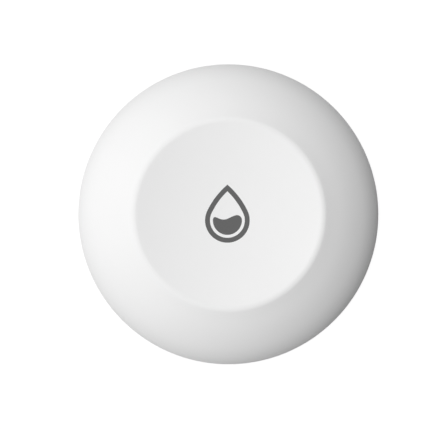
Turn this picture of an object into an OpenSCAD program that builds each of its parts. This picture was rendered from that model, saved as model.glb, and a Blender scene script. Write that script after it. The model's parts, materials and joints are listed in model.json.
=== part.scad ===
// Water leak sensor: a domed puck that lies on the floor. The dish in its top is a button, two steel
// screws underneath feel the water, and a twist-off cover holds the coin cell.
// Millimetres, +Z up, the floor at z = 0, +Y towards the tip of the drop symbol.

/* [Housing] */
// Largest diameter of the housing
body_d = 50; // [49:0.5:56]
// Height from the floor to the rim of the dish
body_h = 15; // [14.6:0.1:17]
// Height of the widest line, where upper shell and base part
widest_z = 2.3; // [2.1:0.1:3.2]
// Wall thickness of the upper shell
shell_wall = 1.6; // [1.2:0.1:2]
// Radius of the shoulder arc above the widest line
shoulder_r = 11.3; // [10.5:0.1:12.5]
// Radius of the flatter arc above the shoulder
flank_r = 22; // [18:0.5:26]
// Slope in degrees where the shoulder passes into the flank
flank_slope = 48; // [44:1:54]
// Slope in degrees of the straight brow between flank and dish rim
brow_slope = 34.5; // [32:0.5:38]
// Rounding of the rim round the dish
crest_r = 1.5; // [1:0.1:2]
// Width of the shadow line at the parting
seam_w = 0.45; // [0.2:0.05:0.7]
// Height of the shadow line at the parting
seam_h = 0.2; // [0.1:0.05:0.4]

/* [Dish button] */
// Depth of the dish below its rim
dish_depth = 1.6; // [1:0.1:2]
// Thickness of the pressable dish
dish_t = 1.4; // [1:0.1:1.6]
// Width of the fixed lip between rim and flexing ring
lip_w = 0.9; // [0.6:0.1:1.5]
// Thickness of that lip
lip_t = 1.3; // [1:0.1:1.6]
// Width of the soft flexing ring round the dish
flex_w = 1.2; // [0.8:0.1:2]
// Thickness of the flexing ring
flex_t = 0.7; // [0.4:0.1:1]
// Clearance between the dish and the flexing ring
button_gap = 0.08; // [0.04:0.01:0.15]
// Diameter of the plunger under the dish
plunger_d = 4; // [3:0.1:5]
// Clearance between plunger and switch stem at rest
plunger_gap = 0.05; // [0.02:0.01:0.1]
// Number of stiffening ribs under the dish
rib_count = 3; // [3:1:6]
// Thickness of a stiffening rib
rib_t = 0.8; // [0.6:0.1:1.2]
// Distance that a rib reaches from the axis
rib_reach = 8; // [5:0.5:9]
// Depth of a rib below the dish
rib_depth = 0.6; // [0.3:0.1:0.8]

/* [Drop symbol] */
// Width of the drop
drop_w = 7.3; // [5:0.1:9]
// Height of the drop
drop_h = 9.5; // [8.6:0.1:11]
// Angle in degrees where the round belly passes into the straight-looking sides
drop_turn = 26; // [20:1:34]
// Stroke of the drop's outline
drop_stroke = 0.8; // [0.5:0.02:1.1]
// Gap between the outline and the water inside it
water_gap = 0.48; // [0.3:0.02:0.8]
// Height of the water's mean level above the centre of the belly
water_level = 0.5; // [0:0.1:1]
// Height of the water's wave, from its mean level
wave_rise = 0.36; // [0.2:0.02:0.6]
// Length of one wave
wave_length = 4.6; // [3:0.1:6]
// Shift of the wave along the water, in degrees of one wave
wave_phase = 40; // [0:5:90]
// Depth of the symbol's inlay in the dish
drop_depth = 0.35; // [0.2:0.05:0.6]
// Sideways place of the symbol, from the dish's axis
drop_shift = -0.2; // [-1:0.05:1]
// Place of the symbol's middle towards its tip, from the dish's axis
drop_lift = 0.1; // [-1:0.05:1]

/* [Base] */
// Height of the feet, which keep the base off the floor
foot_h = 0.5; // [0.3:0.1:0.7]
// Diameter of a foot
foot_d = 4.8; // [3.5:0.1:5]
// Thickness of the base's floor
base_t = 1.6; // [1.4:0.1:2]
// Rounding of the base's lower edge
base_edge_r = 1.4; // [0.5:0.1:2]
// Thickness of the wall that stands up inside the upper shell
upstand_t = 1.2; // [1:0.1:1.5]
// Height of that wall above the parting
upstand_h = 2; // [1.8:0.1:2.4]
// Radius of the snap bead on that wall
bead_r = 0.35; // [0.2:0.05:0.45]
// Height of the snap bead above the parting
bead_rise = 1.1; // [1:0.1:1.3]
// Clearance between the base and the upper shell
fit_gap = 0.1; // [0.05:0.01:0.15]
// Width of the case gasket
gasket_w = 0.5; // [0.4:0.05:0.6]
// Height of the case gasket
gasket_h = 0.5; // [0.3:0.05:0.8]
// Distance from the shell's inner face to the gasket
gasket_inset = 0.35; // [0.3:0.05:0.4]
// Diameter of a screw boss
boss_d = 4.4; // [3.6:0.1:5]

/* [Battery cover] */
// Thickness of the cover's plate
cover_t = 1.4; // [1.2:0.1:1.6]
// Clearance between the cover and the base
cover_gap = 0.15; // [0.1:0.01:0.25]
// Thickness of the cover's spigot wall
spigot_wall = 0.7; // [0.6:0.05:0.9]
// Distance that a bayonet lug reaches from the spigot
lug_reach = 0.8; // [0.7:0.05:1]
// Thickness of a lug
lug_t = 0.8; // [0.6:0.05:1]
// Angle in degrees that a lug covers
lug_angle = 24; // [16:1:28]
// Number of lugs
lug_count = 3; // [2:1:3]
// Clearance in degrees between a lug and its notch, of which a stop leaves half
lug_play_angle = 3; // [2:0.5:4]
// Angle in degrees that a stop covers
stop_angle = 5; // [4:0.5:6]
// Angle in degrees from locked to free
twist_angle = 35; // [32:1:40]
// Clearance between a lug and the bayonet ring
lug_play = 0.1; // [0.05:0.01:0.2]
// Height of the bayonet ring in the base, from the face of the O-ring
ring_t = 0.8; // [0.6:0.05:1]
// Width of the land that carries the cover's O-ring
seal_land = 1.6; // [1.5:0.05:1.8]
// Section of the cover's O-ring
seal_d = 0.9; // [0.8:0.05:1]
// Gap that the O-ring closes between cover and base
seal_gap = 0.5; // [0.4:0.05:0.6]
// Clearance left above the O-ring
seal_play = 0.05; // [0.02:0.01:0.1]
// Wall round the cover's recess
collar_wall = 1; // [0.9:0.05:1.3]
// Direction in degrees of the coin slot and of the mark for the locked cover
mark_angle = 60; // [45:1:70]
// Length of the coin slot
slot_l = 17; // [12:0.5:20]
// Width of the coin slot
slot_w = 2; // [1.6:0.1:2.6]
// Depth of the coin slot
slot_depth = 0.9; // [0.6:0.05:1]
// Diameter of the lock marks
mark_d = 1.1; // [0.8:0.1:1.2]
// Depth of the lock marks
mark_depth = 0.25; // [0.1:0.05:0.4]

/* [Coin cell and contacts] */
// Diameter of the coin cell
cell_d = 20; // [18:0.1:20.4]
// Height of the coin cell
cell_h = 3.2; // [2.5:0.1:3.5]
// Diameter of the cell's negative lid
cell_lid_d = 17.6; // [15:0.1:17.8]
// Height of the cell's negative lid
cell_lid_h = 0.3; // [0.2:0.05:0.5]
// Clearance round the cell
cell_gap = 0.3; // [0.2:0.05:0.4]
// Thickness of the foam pad under the cell
pad_t = 0.5; // [0.3:0.05:0.8]
// Diameter of the foam pad
pad_d = 16; // [10:0.5:19]
// Space for the contact springs between the cell and the board
contact_h = 1.4; // [1.1:0.1:1.7]
// Thickness of the contact strip
contact_t = 0.2; // [0.15:0.01:0.25]
// Width of a contact strip
contact_w = 5; // [3:0.5:6]
// Length of the negative contact
contact_l = 9; // [7:0.5:12]
// Clearance between a contact and the cell
contact_gap = 0.05; // [0.02:0.01:0.1]
// Wall of the cell holder
holder_wall = 1.3; // [1:0.1:1.5]
// Clearance between the holder and what lies below it
holder_gap = 0.4; // [0.3:0.1:0.6]

/* [Circuit board] */
// Thickness of the board
board_t = 1; // [0.8:0.1:1.4]
// Clearance between the board's edge and the upper shell
board_gap = 0.6; // [0.4:0.1:0.9]
// Diameter of a board screw's shank
screw_d = 1.6; // [1.4:0.1:1.8]
// Diameter of a board screw's head
screw_head_d = 3.4; // [3:0.1:4]
// Height of a board screw's head
screw_head_h = 1.1; // [0.8:0.1:1.4]
// Length of a board screw below its head
screw_l = 4; // [3:0.5:4.5]
// Radial clearance of a screw in its boss
screw_fit = 0.02; // [0.01:0.01:0.05]
// Radial clearance of a screw in the board
hole_gap = 0.15; // [0.1:0.05:0.3]
// Side of the tact switch
switch_w = 6; // [5:0.1:6.5]
// Height of the tact switch's body
switch_h = 1.2; // [1.1:0.1:1.6]
// Diameter of the switch stem
stem_d = 3.5; // [2.5:0.1:4]
// Height of the stem above the switch's body
stem_rise = 0.5; // [0.4:0.1:0.8]
// Depth that the stem reaches into the switch's body
stem_depth = 0.5; // [0.3:0.1:0.5]
// Free depth below the stem, for its travel
stem_travel = 0.4; // [0.35:0.05:0.5]
// Radial clearance of the stem
stem_gap = 0.1; // [0.05:0.01:0.15]
// Gap between the switch's legs and the pieces beside it
part_gap = 0.4; // [0.3:0.1:0.8]
// Length of the switch's legs
leg_l = 1.1; // [0.8:0.1:1.2]
// Width of a leg
leg_w = 0.7; // [0.5:0.1:0.9]
// Thickness of a leg
leg_t = 0.2; // [0.15:0.05:0.3]
// Width of the radio module's board
radio_w = 12; // [10.5:0.1:12.2]
// Length of the radio module's board
radio_l = 15; // [14:0.1:18]
// Thickness of the radio module's board
radio_t = 0.6; // [0.5:0.1:0.8]
// Width of the radio's shield can
shield_w = 10; // [8:0.1:10.2]
// Length of the radio's shield can
shield_l = 10.5; // [8:0.1:11]
// Height of the radio's shield can
shield_h = 1.2; // [1:0.1:1.4]
// Length of the chip antenna
antenna_l = 5; // [3:0.1:8]
// Width of the chip antenna
antenna_w = 1.2; // [0.8:0.1:1.4]
// Height of the chip antenna
antenna_h = 1; // [0.6:0.1:1.2]
// Side of the controller chip
chip_w = 5; // [4:0.1:6]
// Height of the controller chip
chip_h = 0.85; // [0.6:0.05:1.2]
// Length of the crystal
crystal_l = 3.2; // [2:0.1:5]
// Width of the crystal
crystal_w = 2.5; // [1.6:0.1:3.2]
// Height of the crystal
crystal_h = 0.7; // [0.5:0.05:1.2]
// Length of a capacitor
capacitor_l = 1.6; // [1:0.1:2]
// Width and height of a capacitor
capacitor_w = 0.8; // [0.5:0.1:1]
// Number of capacitors in the row
capacitor_count = 6; // [2:1:7]
// Distance between two capacitors
capacitor_pitch = 2; // [1.6:0.1:2.2]
// Length of the status LED
led_l = 1.6; // [1:0.1:2]
// Width of the status LED
led_w = 0.8; // [0.5:0.1:1.2]
// Height of the status LED
led_h = 0.7; // [0.4:0.1:1]

/* [Probes] */
// Diameter of a probe's head
probe_head_d = 4.4; // [3.8:0.1:5]
// Height of a probe's head
probe_head_h = 0.8; // [0.75:0.05:1]
// Width of the driver slot in a probe's head
probe_slot_w = 0.8; // [0.5:0.1:1]
// Depth of the driver slot in a probe's head
probe_slot_depth = 0.35; // [0.2:0.05:0.4]
// Diameter of a probe's shank
probe_d = 2; // [1.6:0.1:2.2]
// Length of a probe's shank
probe_l = 5; // [4:0.1:5.4]
// Radial clearance of the head in its seat
probe_gap = 0.15; // [0.1:0.05:0.25]
// Radial clearance of the shank in base and post
probe_fit = 0.05; // [0.02:0.01:0.1]
// Section of a probe's O-ring
probe_seal_d = 0.7; // [0.5:0.05:0.75]
// Diameter of a brass post
post_d = 3.2; // [3:0.1:3.6]
// Distance from a post to the wall that stands up inside the upper shell
post_inset = 1.4; // [1.2:0.1:2]
// Height of the base's seat below a post, from its floor
post_seat = 0.9; // [0.6:0.1:1.2]

/* [Hidden] */

$fn = 128;
// Facets of the dish's large sphere
dish_fn = 500;
// Length by which cuts run past the faces that they open
over = 1;
// Depth by which a curve of the outline passes under the next one
overlap = 0.0005;
// Angle in degrees by which the flank runs on under the brow
brow_margin = 2;

// Outward normal of a surface that slopes down by the angle a
function slope_dir(a) = [sin(a), cos(a)];

// Housing outline, as points of its half section
body_r = body_d / 2;
shoulder_c = [body_r - shoulder_r, widest_z];
flank_c = shoulder_c - (flank_r - shoulder_r) * slope_dir(flank_slope);
crest_z = body_h - crest_r;
brow_top_z = crest_z + crest_r * cos(brow_slope);
brow_foot = flank_c + flank_r * slope_dir(brow_slope);
brow_top = [brow_foot[0] - (brow_top_z - brow_foot[1]) / tan(brow_slope), brow_top_z];
crest_c = brow_top - crest_r * slope_dir(brow_slope);
rim_r = crest_c[0];

// Dish: a sphere that is tangent to the rounded rim
dish_reach = (rim_r * rim_r + dish_depth * dish_depth) / (2 * dish_depth);
dish_r = dish_reach - crest_r;
dish_slope = asin(rim_r / dish_reach);
dish_z = body_h - dish_depth;
dish_c = [0, dish_z + dish_r];
opening_r = rim_r - lip_w;
flex_in_r = opening_r - flex_w;
button_r = flex_in_r - button_gap;

// Drop symbol: a round belly with two long arcs that meet in the tip
belly_r = drop_w / 2;
tip_rise = drop_h - belly_r;
belly_y = belly_r - drop_h / 2;
side_r = (tip_rise * tip_rise + belly_r * belly_r - 2 * tip_rise * belly_r * sin(drop_turn))
    / (2 * (belly_r - tip_rise * sin(drop_turn)));
side_c = -(side_r - belly_r) * [cos(drop_turn), sin(drop_turn)];
water_r = belly_r - drop_stroke - water_gap;
inlay_z = dish_z - drop_depth;

// Steps along the symbol's curves
side_steps = 6;
belly_steps = 36;
wave_steps = 24;

// Heights of the battery bay, from the floor up
base_top = foot_h + base_t;
cover_top = foot_h + cover_t;
ring_z = cover_top + seal_gap;
ring_top = ring_z + ring_t;
lug_z = ring_top + lug_play;
lug_top = lug_z + lug_t;
collar_top = lug_top + lug_play;
cell_z = cover_top + pad_t;
cell_top = cell_z + cell_h;
holder_z = lug_top + holder_gap;
board_z = cell_top + contact_h;
board_top = board_z + board_t;
switch_top = board_top + switch_h;
stem_top = switch_top + stem_rise;

// Radii of the battery bay, from the cell outwards
cell_r = cell_d / 2;
spigot_in_r = cell_r + cell_gap;
spigot_r = spigot_in_r + spigot_wall;
lug_r = spigot_r + lug_reach;
ring_in_r = spigot_r + cover_gap;
bay_r = lug_r + cover_gap;
cover_r = bay_r + seal_land;
recess_r = cover_r + cover_gap;
collar_r = recess_r + collar_wall;
seal_r = (bay_r + cover_r) / 2;
seal_groove_z = ring_z - seal_play - seal_d;
holder_r = spigot_in_r + holder_wall;
notch_angle = lug_angle + 2 * lug_play_angle;

// Places round the bay
shell_in_r = body_r - shell_wall;
upstand_r = shell_in_r - fit_gap;
upstand_in_r = upstand_r - upstand_t;
post_r = post_d / 2;
probe_r = upstand_in_r - post_inset - post_r;
mark_r = recess_r + mark_d;
boss_r = boss_d / 2;
boss_place = collar_r + boss_r / 2;
board_reach = sqrt(pow(shoulder_r - shell_wall, 2) - pow(board_top - widest_z, 2));
board_r = shoulder_c[0] + board_reach - board_gap;
gasket_r = shell_in_r + gasket_inset;
post_z = base_top + post_seat;
side_x = switch_w / 2 + leg_l + part_gap;
radio_x = -side_x - radio_w / 2;
probe_seat_r = probe_head_d / 2 + probe_gap;
probe_hole_r = probe_d / 2 + probe_fit;
probe_seal_r = probe_hole_r + probe_seal_d / 2;

// Circle sector between two surface slopes, round the centre c
module sector(c, r, from, to) {
    reach = 2 * r;
    intersection() {
        translate(c) circle(r);
        polygon([
            c,
            c + reach * slope_dir(from),
            c + reach * slope_dir((from + to) / 2),
            c + reach * slope_dir(to)
        ]);
    }
}

// Lower end of the brow's straight line, moved inwards by inset
function brow_start(inset) = flank_c + (flank_r - inset - 2 * overlap) * slope_dir(brow_slope);

// Half section under shoulder, flank and brow, moved inwards by inset, from from_z up to the points of cap
module dome_section(inset, from_z, cap) {
    intersection() {
        union() {
            translate(shoulder_c) circle(shoulder_r - inset);
            sector(flank_c, flank_r - inset - overlap, brow_slope - brow_margin, flank_slope);
            polygon(concat([[0, 0], [shoulder_c[0], 0], brow_start(inset)], cap));
        }
        translate([0, from_z]) square([body_d, body_h]);
    }
}

// Half section of the closed dome, with its rounded rim and its dish
module dome_outline() {
    brow_end = crest_c + (crest_r - 2 * overlap) * slope_dir(brow_slope);
    rim_inner = crest_c + crest_r * slope_dir(-dish_slope);
    difference() {
        union() {
            dome_section(0, widest_z, [brow_end, rim_inner, [0, rim_inner[1]]]);
            translate(crest_c) circle(crest_r);
        }
        translate(dish_c) circle(dish_r + overlap, $fn = dish_fn);
    }
}

// Half section of the space under the dome, whose brow runs on inwards past the opening
module dome_inside(inset) {
    foot = brow_start(inset);
    top = foot + (foot[0] - opening_r + over) * [-1, tan(brow_slope)];
    dome_section(inset, widest_z - over, [top, [0, top[1]]]);
}

// Half section of a layer of the dish, between two depths and two radii
module dish_layer(depth, from_r, to_r) {
    difference() {
        intersection() {
            translate(dish_c) circle(dish_r + depth, $fn = dish_fn);
            translate([from_r, 0]) square([to_r - from_r, body_h]);
        }
        translate(dish_c) circle(dish_r, $fn = dish_fn);
    }
}

// Ring sector with a rectangular section, centred on the angle a
module ring_sector(a, angle, from_r, to_r, from_z, to_z) {
    rotate([0, 0, a - angle / 2])
        rotate_extrude(angle = angle)
            translate([from_r, from_z]) square([to_r - from_r, to_z - from_z]);
}

// Box on a surface, centred in x and y
module chip(place, size) {
    translate(place - [size[0] / 2, size[1] / 2, 0]) cube(size);
}

// Points of an arc round the centre c
function arc(c, r, from, to, steps) = [
    for (i = [0 : steps])
        let (a = from + (to - from) * i / steps)
        c + r * [cos(a), sin(a)]
];

// Outline of the drop moved inwards by inset, with its belly's centre at the origin
function drop_points(inset) =
    let (r = side_r - inset)
    let (right = arc(side_c, r, acos(-side_c[0] / r), drop_turn, side_steps))
    let (belly = arc([0, 0], belly_r - inset, drop_turn, -180 - drop_turn, belly_steps))
    concat(
        right,
        [for (i = [1 : belly_steps - 1]) belly[i]],
        [for (i = [side_steps : -1 : 1]) [-right[i][0], right[i][1]]]
    );

module drop_ring() {
    difference() {
        polygon(drop_points(0));
        polygon(drop_points(drop_stroke));
    }
}

// Water inside the drop, with a plain wave for its surface
module water_shape() {
    wave = [
        for (i = [0 : wave_steps])
            let (x = (water_r + over) * (2 * i / wave_steps - 1))
            [x, water_level + wave_rise * sin(360 * x / wave_length - wave_phase)]
    ];
    intersection() {
        circle(water_r);
        polygon(concat(wave, [[drop_w, -drop_h], [-drop_w, -drop_h]]));
    }
}

// Dish without its plunger, as a turned layer
module dish_body() {
    rotate_extrude() dish_layer(dish_t, 0, button_r);
}

// Symbol's prism from the floor of its inlay up through the dish
module symbol_prism() {
    translate([drop_shift, belly_y + drop_lift, inlay_z]) linear_extrude(dish_depth + drop_depth) children();
}

// Part of the symbol below the dish's surface
module symbol_inlay() {
    intersection() {
        symbol_prism() children();
        dish_body();
    }
}

// Upper shell: dome, rounded rim and lip, hollow below
module top_shell() {
    color("white") rotate_extrude() difference() {
        dome_outline();
        difference() {
            dome_inside(shell_wall);
            translate(dish_c) circle(dish_r + lip_t, $fn = dish_fn);
        }
        square([opening_r, body_h + over]);
        translate([gasket_r, widest_z - over]) square([gasket_w, gasket_h + over]);
        translate([upstand_r, widest_z + bead_rise]) circle(bead_r + fit_gap);
    }
}

// Soft ring that lets the dish move
module flex_ring() {
    color("whitesmoke") rotate_extrude() dish_layer(flex_t, flex_in_r, opening_r);
}

// Pressable dish with its plunger and ribs, inlaid with the symbol
module button_dish() {
    plunger_z = stem_top + plunger_gap;
    color("white") difference() {
        union() {
            dish_body();
            translate([0, 0, plunger_z]) cylinder(d = plunger_d, h = dish_z - dish_t / 2 - plunger_z);
            for (i = [0 : rib_count - 1])
                rotate([0, 0, 90 + 360 * i / rib_count])
                    translate([0, -rib_t / 2, dish_z - dish_t - rib_depth])
                        cube([rib_reach, rib_t, rib_depth + dish_t / 2]);
        }
        symbol_prism() drop_ring();
        symbol_prism() water_shape();
    }
}

module drop_outline() {
    color("dimgray") symbol_inlay() drop_ring();
}

module drop_water() {
    color("dimgray") symbol_inlay() water_shape();
}

// Half section of the base's floor, rim and snap wall
module base_section() {
    edge_r = min(base_edge_r, widest_z - foot_h - 2 * seam_h);
    edge_c = [body_r - edge_r, foot_h + edge_r];
    difference() {
        union() {
            translate([0, foot_h]) square([edge_c[0], base_t]);
            translate([upstand_in_r, foot_h]) square([edge_c[0] - upstand_in_r, widest_z - foot_h]);
            translate(edge_c) square([edge_r, widest_z - edge_c[1]]);
            sector(edge_c, edge_r, 90, 180);
        }
        translate([body_r - seam_w, widest_z - seam_h]) square([seam_w + over, seam_h + over]);
    }
    intersection() {
        dome_inside(shell_wall + fit_gap);
        translate([upstand_in_r, foot_h]) square([upstand_t, widest_z - foot_h + upstand_h]);
    }
    translate([upstand_r, widest_z + bead_rise]) circle(bead_r);
}

// Bayonet ledges and the stops that limit the cover's turn
module bayonet_ring() {
    root_r = bay_r + collar_wall / 2;
    stop_r = spigot_r + lug_reach / 2;
    stop_z = ring_top - ring_t / 2;
    ledge_z = ring_z + lug_play;
    ledge_angle = 360 / lug_count - notch_angle;
    lock_stop = (lug_angle + lug_play_angle + stop_angle) / 2;
    free_stop = -twist_angle - lock_stop;
    for (i = [0 : lug_count - 1])
        rotate([0, 0, 360 * i / lug_count]) {
            ring_sector(180 / lug_count - twist_angle, ledge_angle, ring_in_r, root_r, ledge_z, ring_top);
            ring_sector(lock_stop, stop_angle, stop_r, root_r, stop_z, lug_top);
            ring_sector(free_stop, stop_angle, stop_r, root_r, stop_z, lug_top);
        }
}

// Base: floor, snap wall, bayonet collar, bosses, probe seats and feet
module base_shell() {
    color("white") {
        difference() {
            union() {
                rotate_extrude() base_section();
                translate([0, 0, foot_h]) cylinder(r = collar_r, h = collar_top - foot_h);
                for (side = [-1, 1]) {
                    translate([0, side * boss_place, foot_h]) cylinder(r = boss_r, h = board_z - foot_h);
                    translate([side * probe_r, 0, foot_h]) cylinder(r = post_r, h = post_z - foot_h);
                    translate([0, side * probe_r, 0]) cylinder(d = foot_d, h = foot_h + base_t / 2);
                }
            }
            cylinder(r = recess_r, h = ring_z);
            cylinder(r = bay_r, h = collar_top + over);
            for (side = [-1, 1]) {
                translate([0, side * boss_place, board_top - screw_l - over])
                    cylinder(r = screw_d / 2 + screw_fit, h = screw_l + over);
                translate([side * probe_r, 0, 0]) {
                    cylinder(r = probe_seat_r, h = probe_head_h);
                    cylinder(r = probe_hole_r + probe_seal_d, h = probe_head_h + probe_seal_d);
                    cylinder(r = probe_hole_r, h = post_z + over);
                }
            }
            for (a = [mark_angle, mark_angle - twist_angle])
                rotate([0, 0, a]) translate([mark_r, 0, foot_h - over])
                    cylinder(d = mark_d, h = mark_depth + over);
        }
        bayonet_ring();
    }
}

// Gasket between upper shell and base
module case_gasket() {
    color("dimgray") rotate_extrude()
        translate([gasket_r, widest_z]) square([gasket_w, gasket_h]);
}

// Battery cover: plate with coin slot and pointer, spigot with bayonet lugs
module battery_cover() {
    pointer = mark_d * 1.5;
    lug_root_r = spigot_r - spigot_wall / 2;
    color("white") difference() {
        union() {
            translate([0, 0, foot_h]) cylinder(r = cover_r, h = cover_t);
            translate([0, 0, foot_h]) cylinder(r = spigot_r, h = collar_top - foot_h);
            for (i = [0 : lug_count - 1])
                ring_sector(360 * i / lug_count, lug_angle, lug_root_r, lug_r, lug_z, lug_top);
        }
        translate([0, 0, cover_top]) cylinder(r = spigot_in_r, h = collar_top);
        translate([0, 0, seal_groove_z]) rotate_extrude()
            translate([seal_r - seal_d / 2 - seal_play, 0]) square([seal_d + 2 * seal_play, cover_t]);
        rotate([0, 0, mark_angle]) translate([0, 0, foot_h - over]) {
            translate([-slot_l / 2, -slot_w / 2, 0]) cube([slot_l, slot_w, slot_depth + over]);
            translate([seal_r, 0, 0]) linear_extrude(mark_depth + over)
                polygon([[mark_d / 2, 0], [-mark_d / 2, pointer / 2], [-mark_d / 2, -pointer / 2]]);
        }
    }
}

module cover_seal() {
    color("dimgray") rotate_extrude()
        translate([seal_r, seal_groove_z + seal_d / 2]) circle(d = seal_d);
}

module cell_pad() {
    color("gray") translate([0, 0, cover_top]) cylinder(d = pad_d, h = pad_t);
}

// Coin cell, its wide positive can downwards
module coin_cell() {
    color("silver") translate([0, 0, cell_z]) {
        cylinder(d = cell_d, h = cell_h - cell_lid_h);
        cylinder(d = cell_lid_d, h = cell_h);
    }
}

// Ring under the board that keeps the cell in place, open at the positive contact
module cell_holder() {
    color("dimgray") difference() {
        translate([0, 0, holder_z]) cylinder(r = holder_r, h = board_z - holder_z);
        translate([0, 0, holder_z - over]) cylinder(r = spigot_in_r, h = board_z);
        translate([-holder_r - over, -contact_w / 2 - cell_gap, holder_z - over])
            cube([holder_r, contact_w + 2 * cell_gap, board_z]);
    }
}

// Strip that hangs from the board and touches the can's side
module positive_contact() {
    leaf_x = -cell_r - contact_gap;
    foot_l = holder_wall + cell_gap;
    color("gold") translate([0, contact_w / 2, 0]) rotate([90, 0, 0]) linear_extrude(contact_w)
        polygon([
            [leaf_x, holder_z], [leaf_x, board_z], [leaf_x - foot_l, board_z],
            [leaf_x - foot_l, board_z - contact_t], [leaf_x - contact_t, board_z - contact_t],
            [leaf_x - contact_t, holder_z]
        ]);
}

// Bent strip under the board that touches the cell's lid
module negative_contact() {
    end_x = contact_l / 2;
    touch_z = cell_top + contact_gap;
    color("gold") translate([0, contact_w / 2, 0]) rotate([90, 0, 0]) linear_extrude(contact_w)
        polygon([
            [-end_x, board_z], [end_x, board_z], [end_x, board_z - contact_t],
            [-end_x + 2 * contact_t, board_z - contact_t], [0, touch_z + contact_t],
            [end_x / 2, touch_z + contact_t], [end_x / 2, touch_z], [0, touch_z],
            [-end_x, board_z - 2 * contact_t]
        ]);
}

module circuit_board() {
    color("darkgreen") difference() {
        translate([0, 0, board_z]) cylinder(r = board_r, h = board_t);
        for (side = [-1, 1])
            translate([0, side * boss_place, board_z - over])
                cylinder(r = screw_d / 2 + hole_gap, h = board_t + 2 * over);
    }
}

// Two cross-head screws that hold the board on its bosses
module board_screws() {
    recess_w = screw_head_d / 6;
    recess_l = screw_head_d * 0.6;
    color("silver") for (side = [-1, 1])
        translate([0, side * boss_place, board_top]) difference() {
            union() {
                cylinder(d = screw_head_d, h = screw_head_h);
                translate([0, 0, -screw_l]) cylinder(d = screw_d, h = screw_l + screw_head_h / 2);
            }
            for (a = [0, 90])
                rotate([0, 0, a]) chip([0, 0, screw_head_h / 2], [recess_l, recess_w, screw_head_h]);
        }
}

module switch_body() {
    color("black") difference() {
        chip([0, 0, board_top], [switch_w, switch_w, switch_h]);
        translate([0, 0, switch_top - stem_depth - stem_travel])
            cylinder(d = stem_d + 2 * stem_gap, h = stem_depth + stem_travel + over);
    }
}

// Four bent legs at the switch's sides
module switch_legs() {
    color("silver") for (side = [0, 1])
        for (place = [-1, 1])
            mirror([side, 0, 0]) translate([switch_w / 2, place * switch_w / 3 - leg_w / 2, board_top]) {
                cube([leg_t, leg_w, switch_h / 2]);
                cube([leg_l, leg_w, leg_t]);
            }
}

module switch_stem() {
    color("black") translate([0, 0, switch_top - stem_depth])
        cylinder(d = stem_d, h = stem_depth + stem_rise);
}

// Radio module, close beside the switch
module radio_board() {
    color("darkgreen") chip([radio_x, 0, board_top], [radio_w, radio_l, radio_t]);
}

// Shield can at the end of the radio board away from the antenna
module radio_shield() {
    place_y = (shield_l - radio_l) / 2 + part_gap;
    color("silver") chip([radio_x, place_y, board_top + radio_t], [shield_w, shield_l, shield_h]);
}

module chip_antenna() {
    place_y = (radio_l - antenna_w) / 2 - part_gap;
    color("ivory") chip([radio_x, place_y, board_top + radio_t], [antenna_l, antenna_w, antenna_h]);
}

module controller_chip() {
    place = [side_x + chip_w / 2, (chip_w + part_gap) / 2, board_top];
    color("black") chip(place, [chip_w, chip_w, chip_h]);
}

module crystal() {
    place = [side_x + crystal_l / 2, -(crystal_w + part_gap) / 2, board_top];
    color("silver") chip(place, [crystal_l, crystal_w, crystal_h]);
}

// Row of capacitors in front of the switch
module capacitors() {
    color("tan") for (i = [0 : capacitor_count - 1])
        translate([i * capacitor_pitch - switch_w / 2, -switch_w, board_top])
            chip([0, 0, 0], [capacitor_w, capacitor_l, capacitor_w]);
}

module status_led() {
    color("white") chip([0, switch_w, board_top], [led_l, led_w, led_h]);
}

// Two stainless screws whose slotted heads lie on the floor
module probe_screws() {
    color("silver") for (side = [-1, 1]) translate([side * probe_r, 0, 0]) difference() {
        union() {
            cylinder(d = probe_head_d, h = probe_head_h);
            cylinder(d = probe_d, h = probe_head_h + probe_l);
        }
        chip([0, 0, -over], [probe_head_d + over, probe_slot_w, probe_slot_depth + over]);
    }
}

// Two brass posts, soldered under the board, that take the probe screws
module probe_posts() {
    color("gold") for (side = [-1, 1]) translate([side * probe_r, 0, 0]) difference() {
        translate([0, 0, post_z]) cylinder(r = post_r, h = board_z - post_z);
        cylinder(r = probe_hole_r, h = probe_head_h + probe_l + probe_gap);
    }
}

module probe_seals() {
    color("dimgray") for (side = [-1, 1])
        translate([side * probe_r, 0, probe_head_h + probe_seal_d / 2]) rotate_extrude()
            translate([probe_seal_r, 0]) circle(d = probe_seal_d);
}

top_shell();
flex_ring();
button_dish();
drop_outline();
drop_water();
base_shell();
case_gasket();
battery_cover();
cover_seal();
cell_pad();
coin_cell();
cell_holder();
positive_contact();
negative_contact();
circuit_board();
board_screws();
switch_body();
switch_legs();
switch_stem();
radio_board();
radio_shield();
chip_antenna();
controller_chip();
crystal();
capacitors();
status_led();
probe_screws();
probe_posts();
probe_seals();
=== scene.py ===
"""Looks of a round water leak sensor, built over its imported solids.

Sizes in the classes are millimetres and become metres when a mesh is made. +Z is up, the floor is at z = 0,
the tip of the drop symbol points to +Y and the probes stand on the X axis.
"""

import json
import logging
import math
from abc import ABC, abstractmethod
from collections.abc import Iterable, Sequence
from dataclasses import dataclass, field
from enum import Enum

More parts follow.
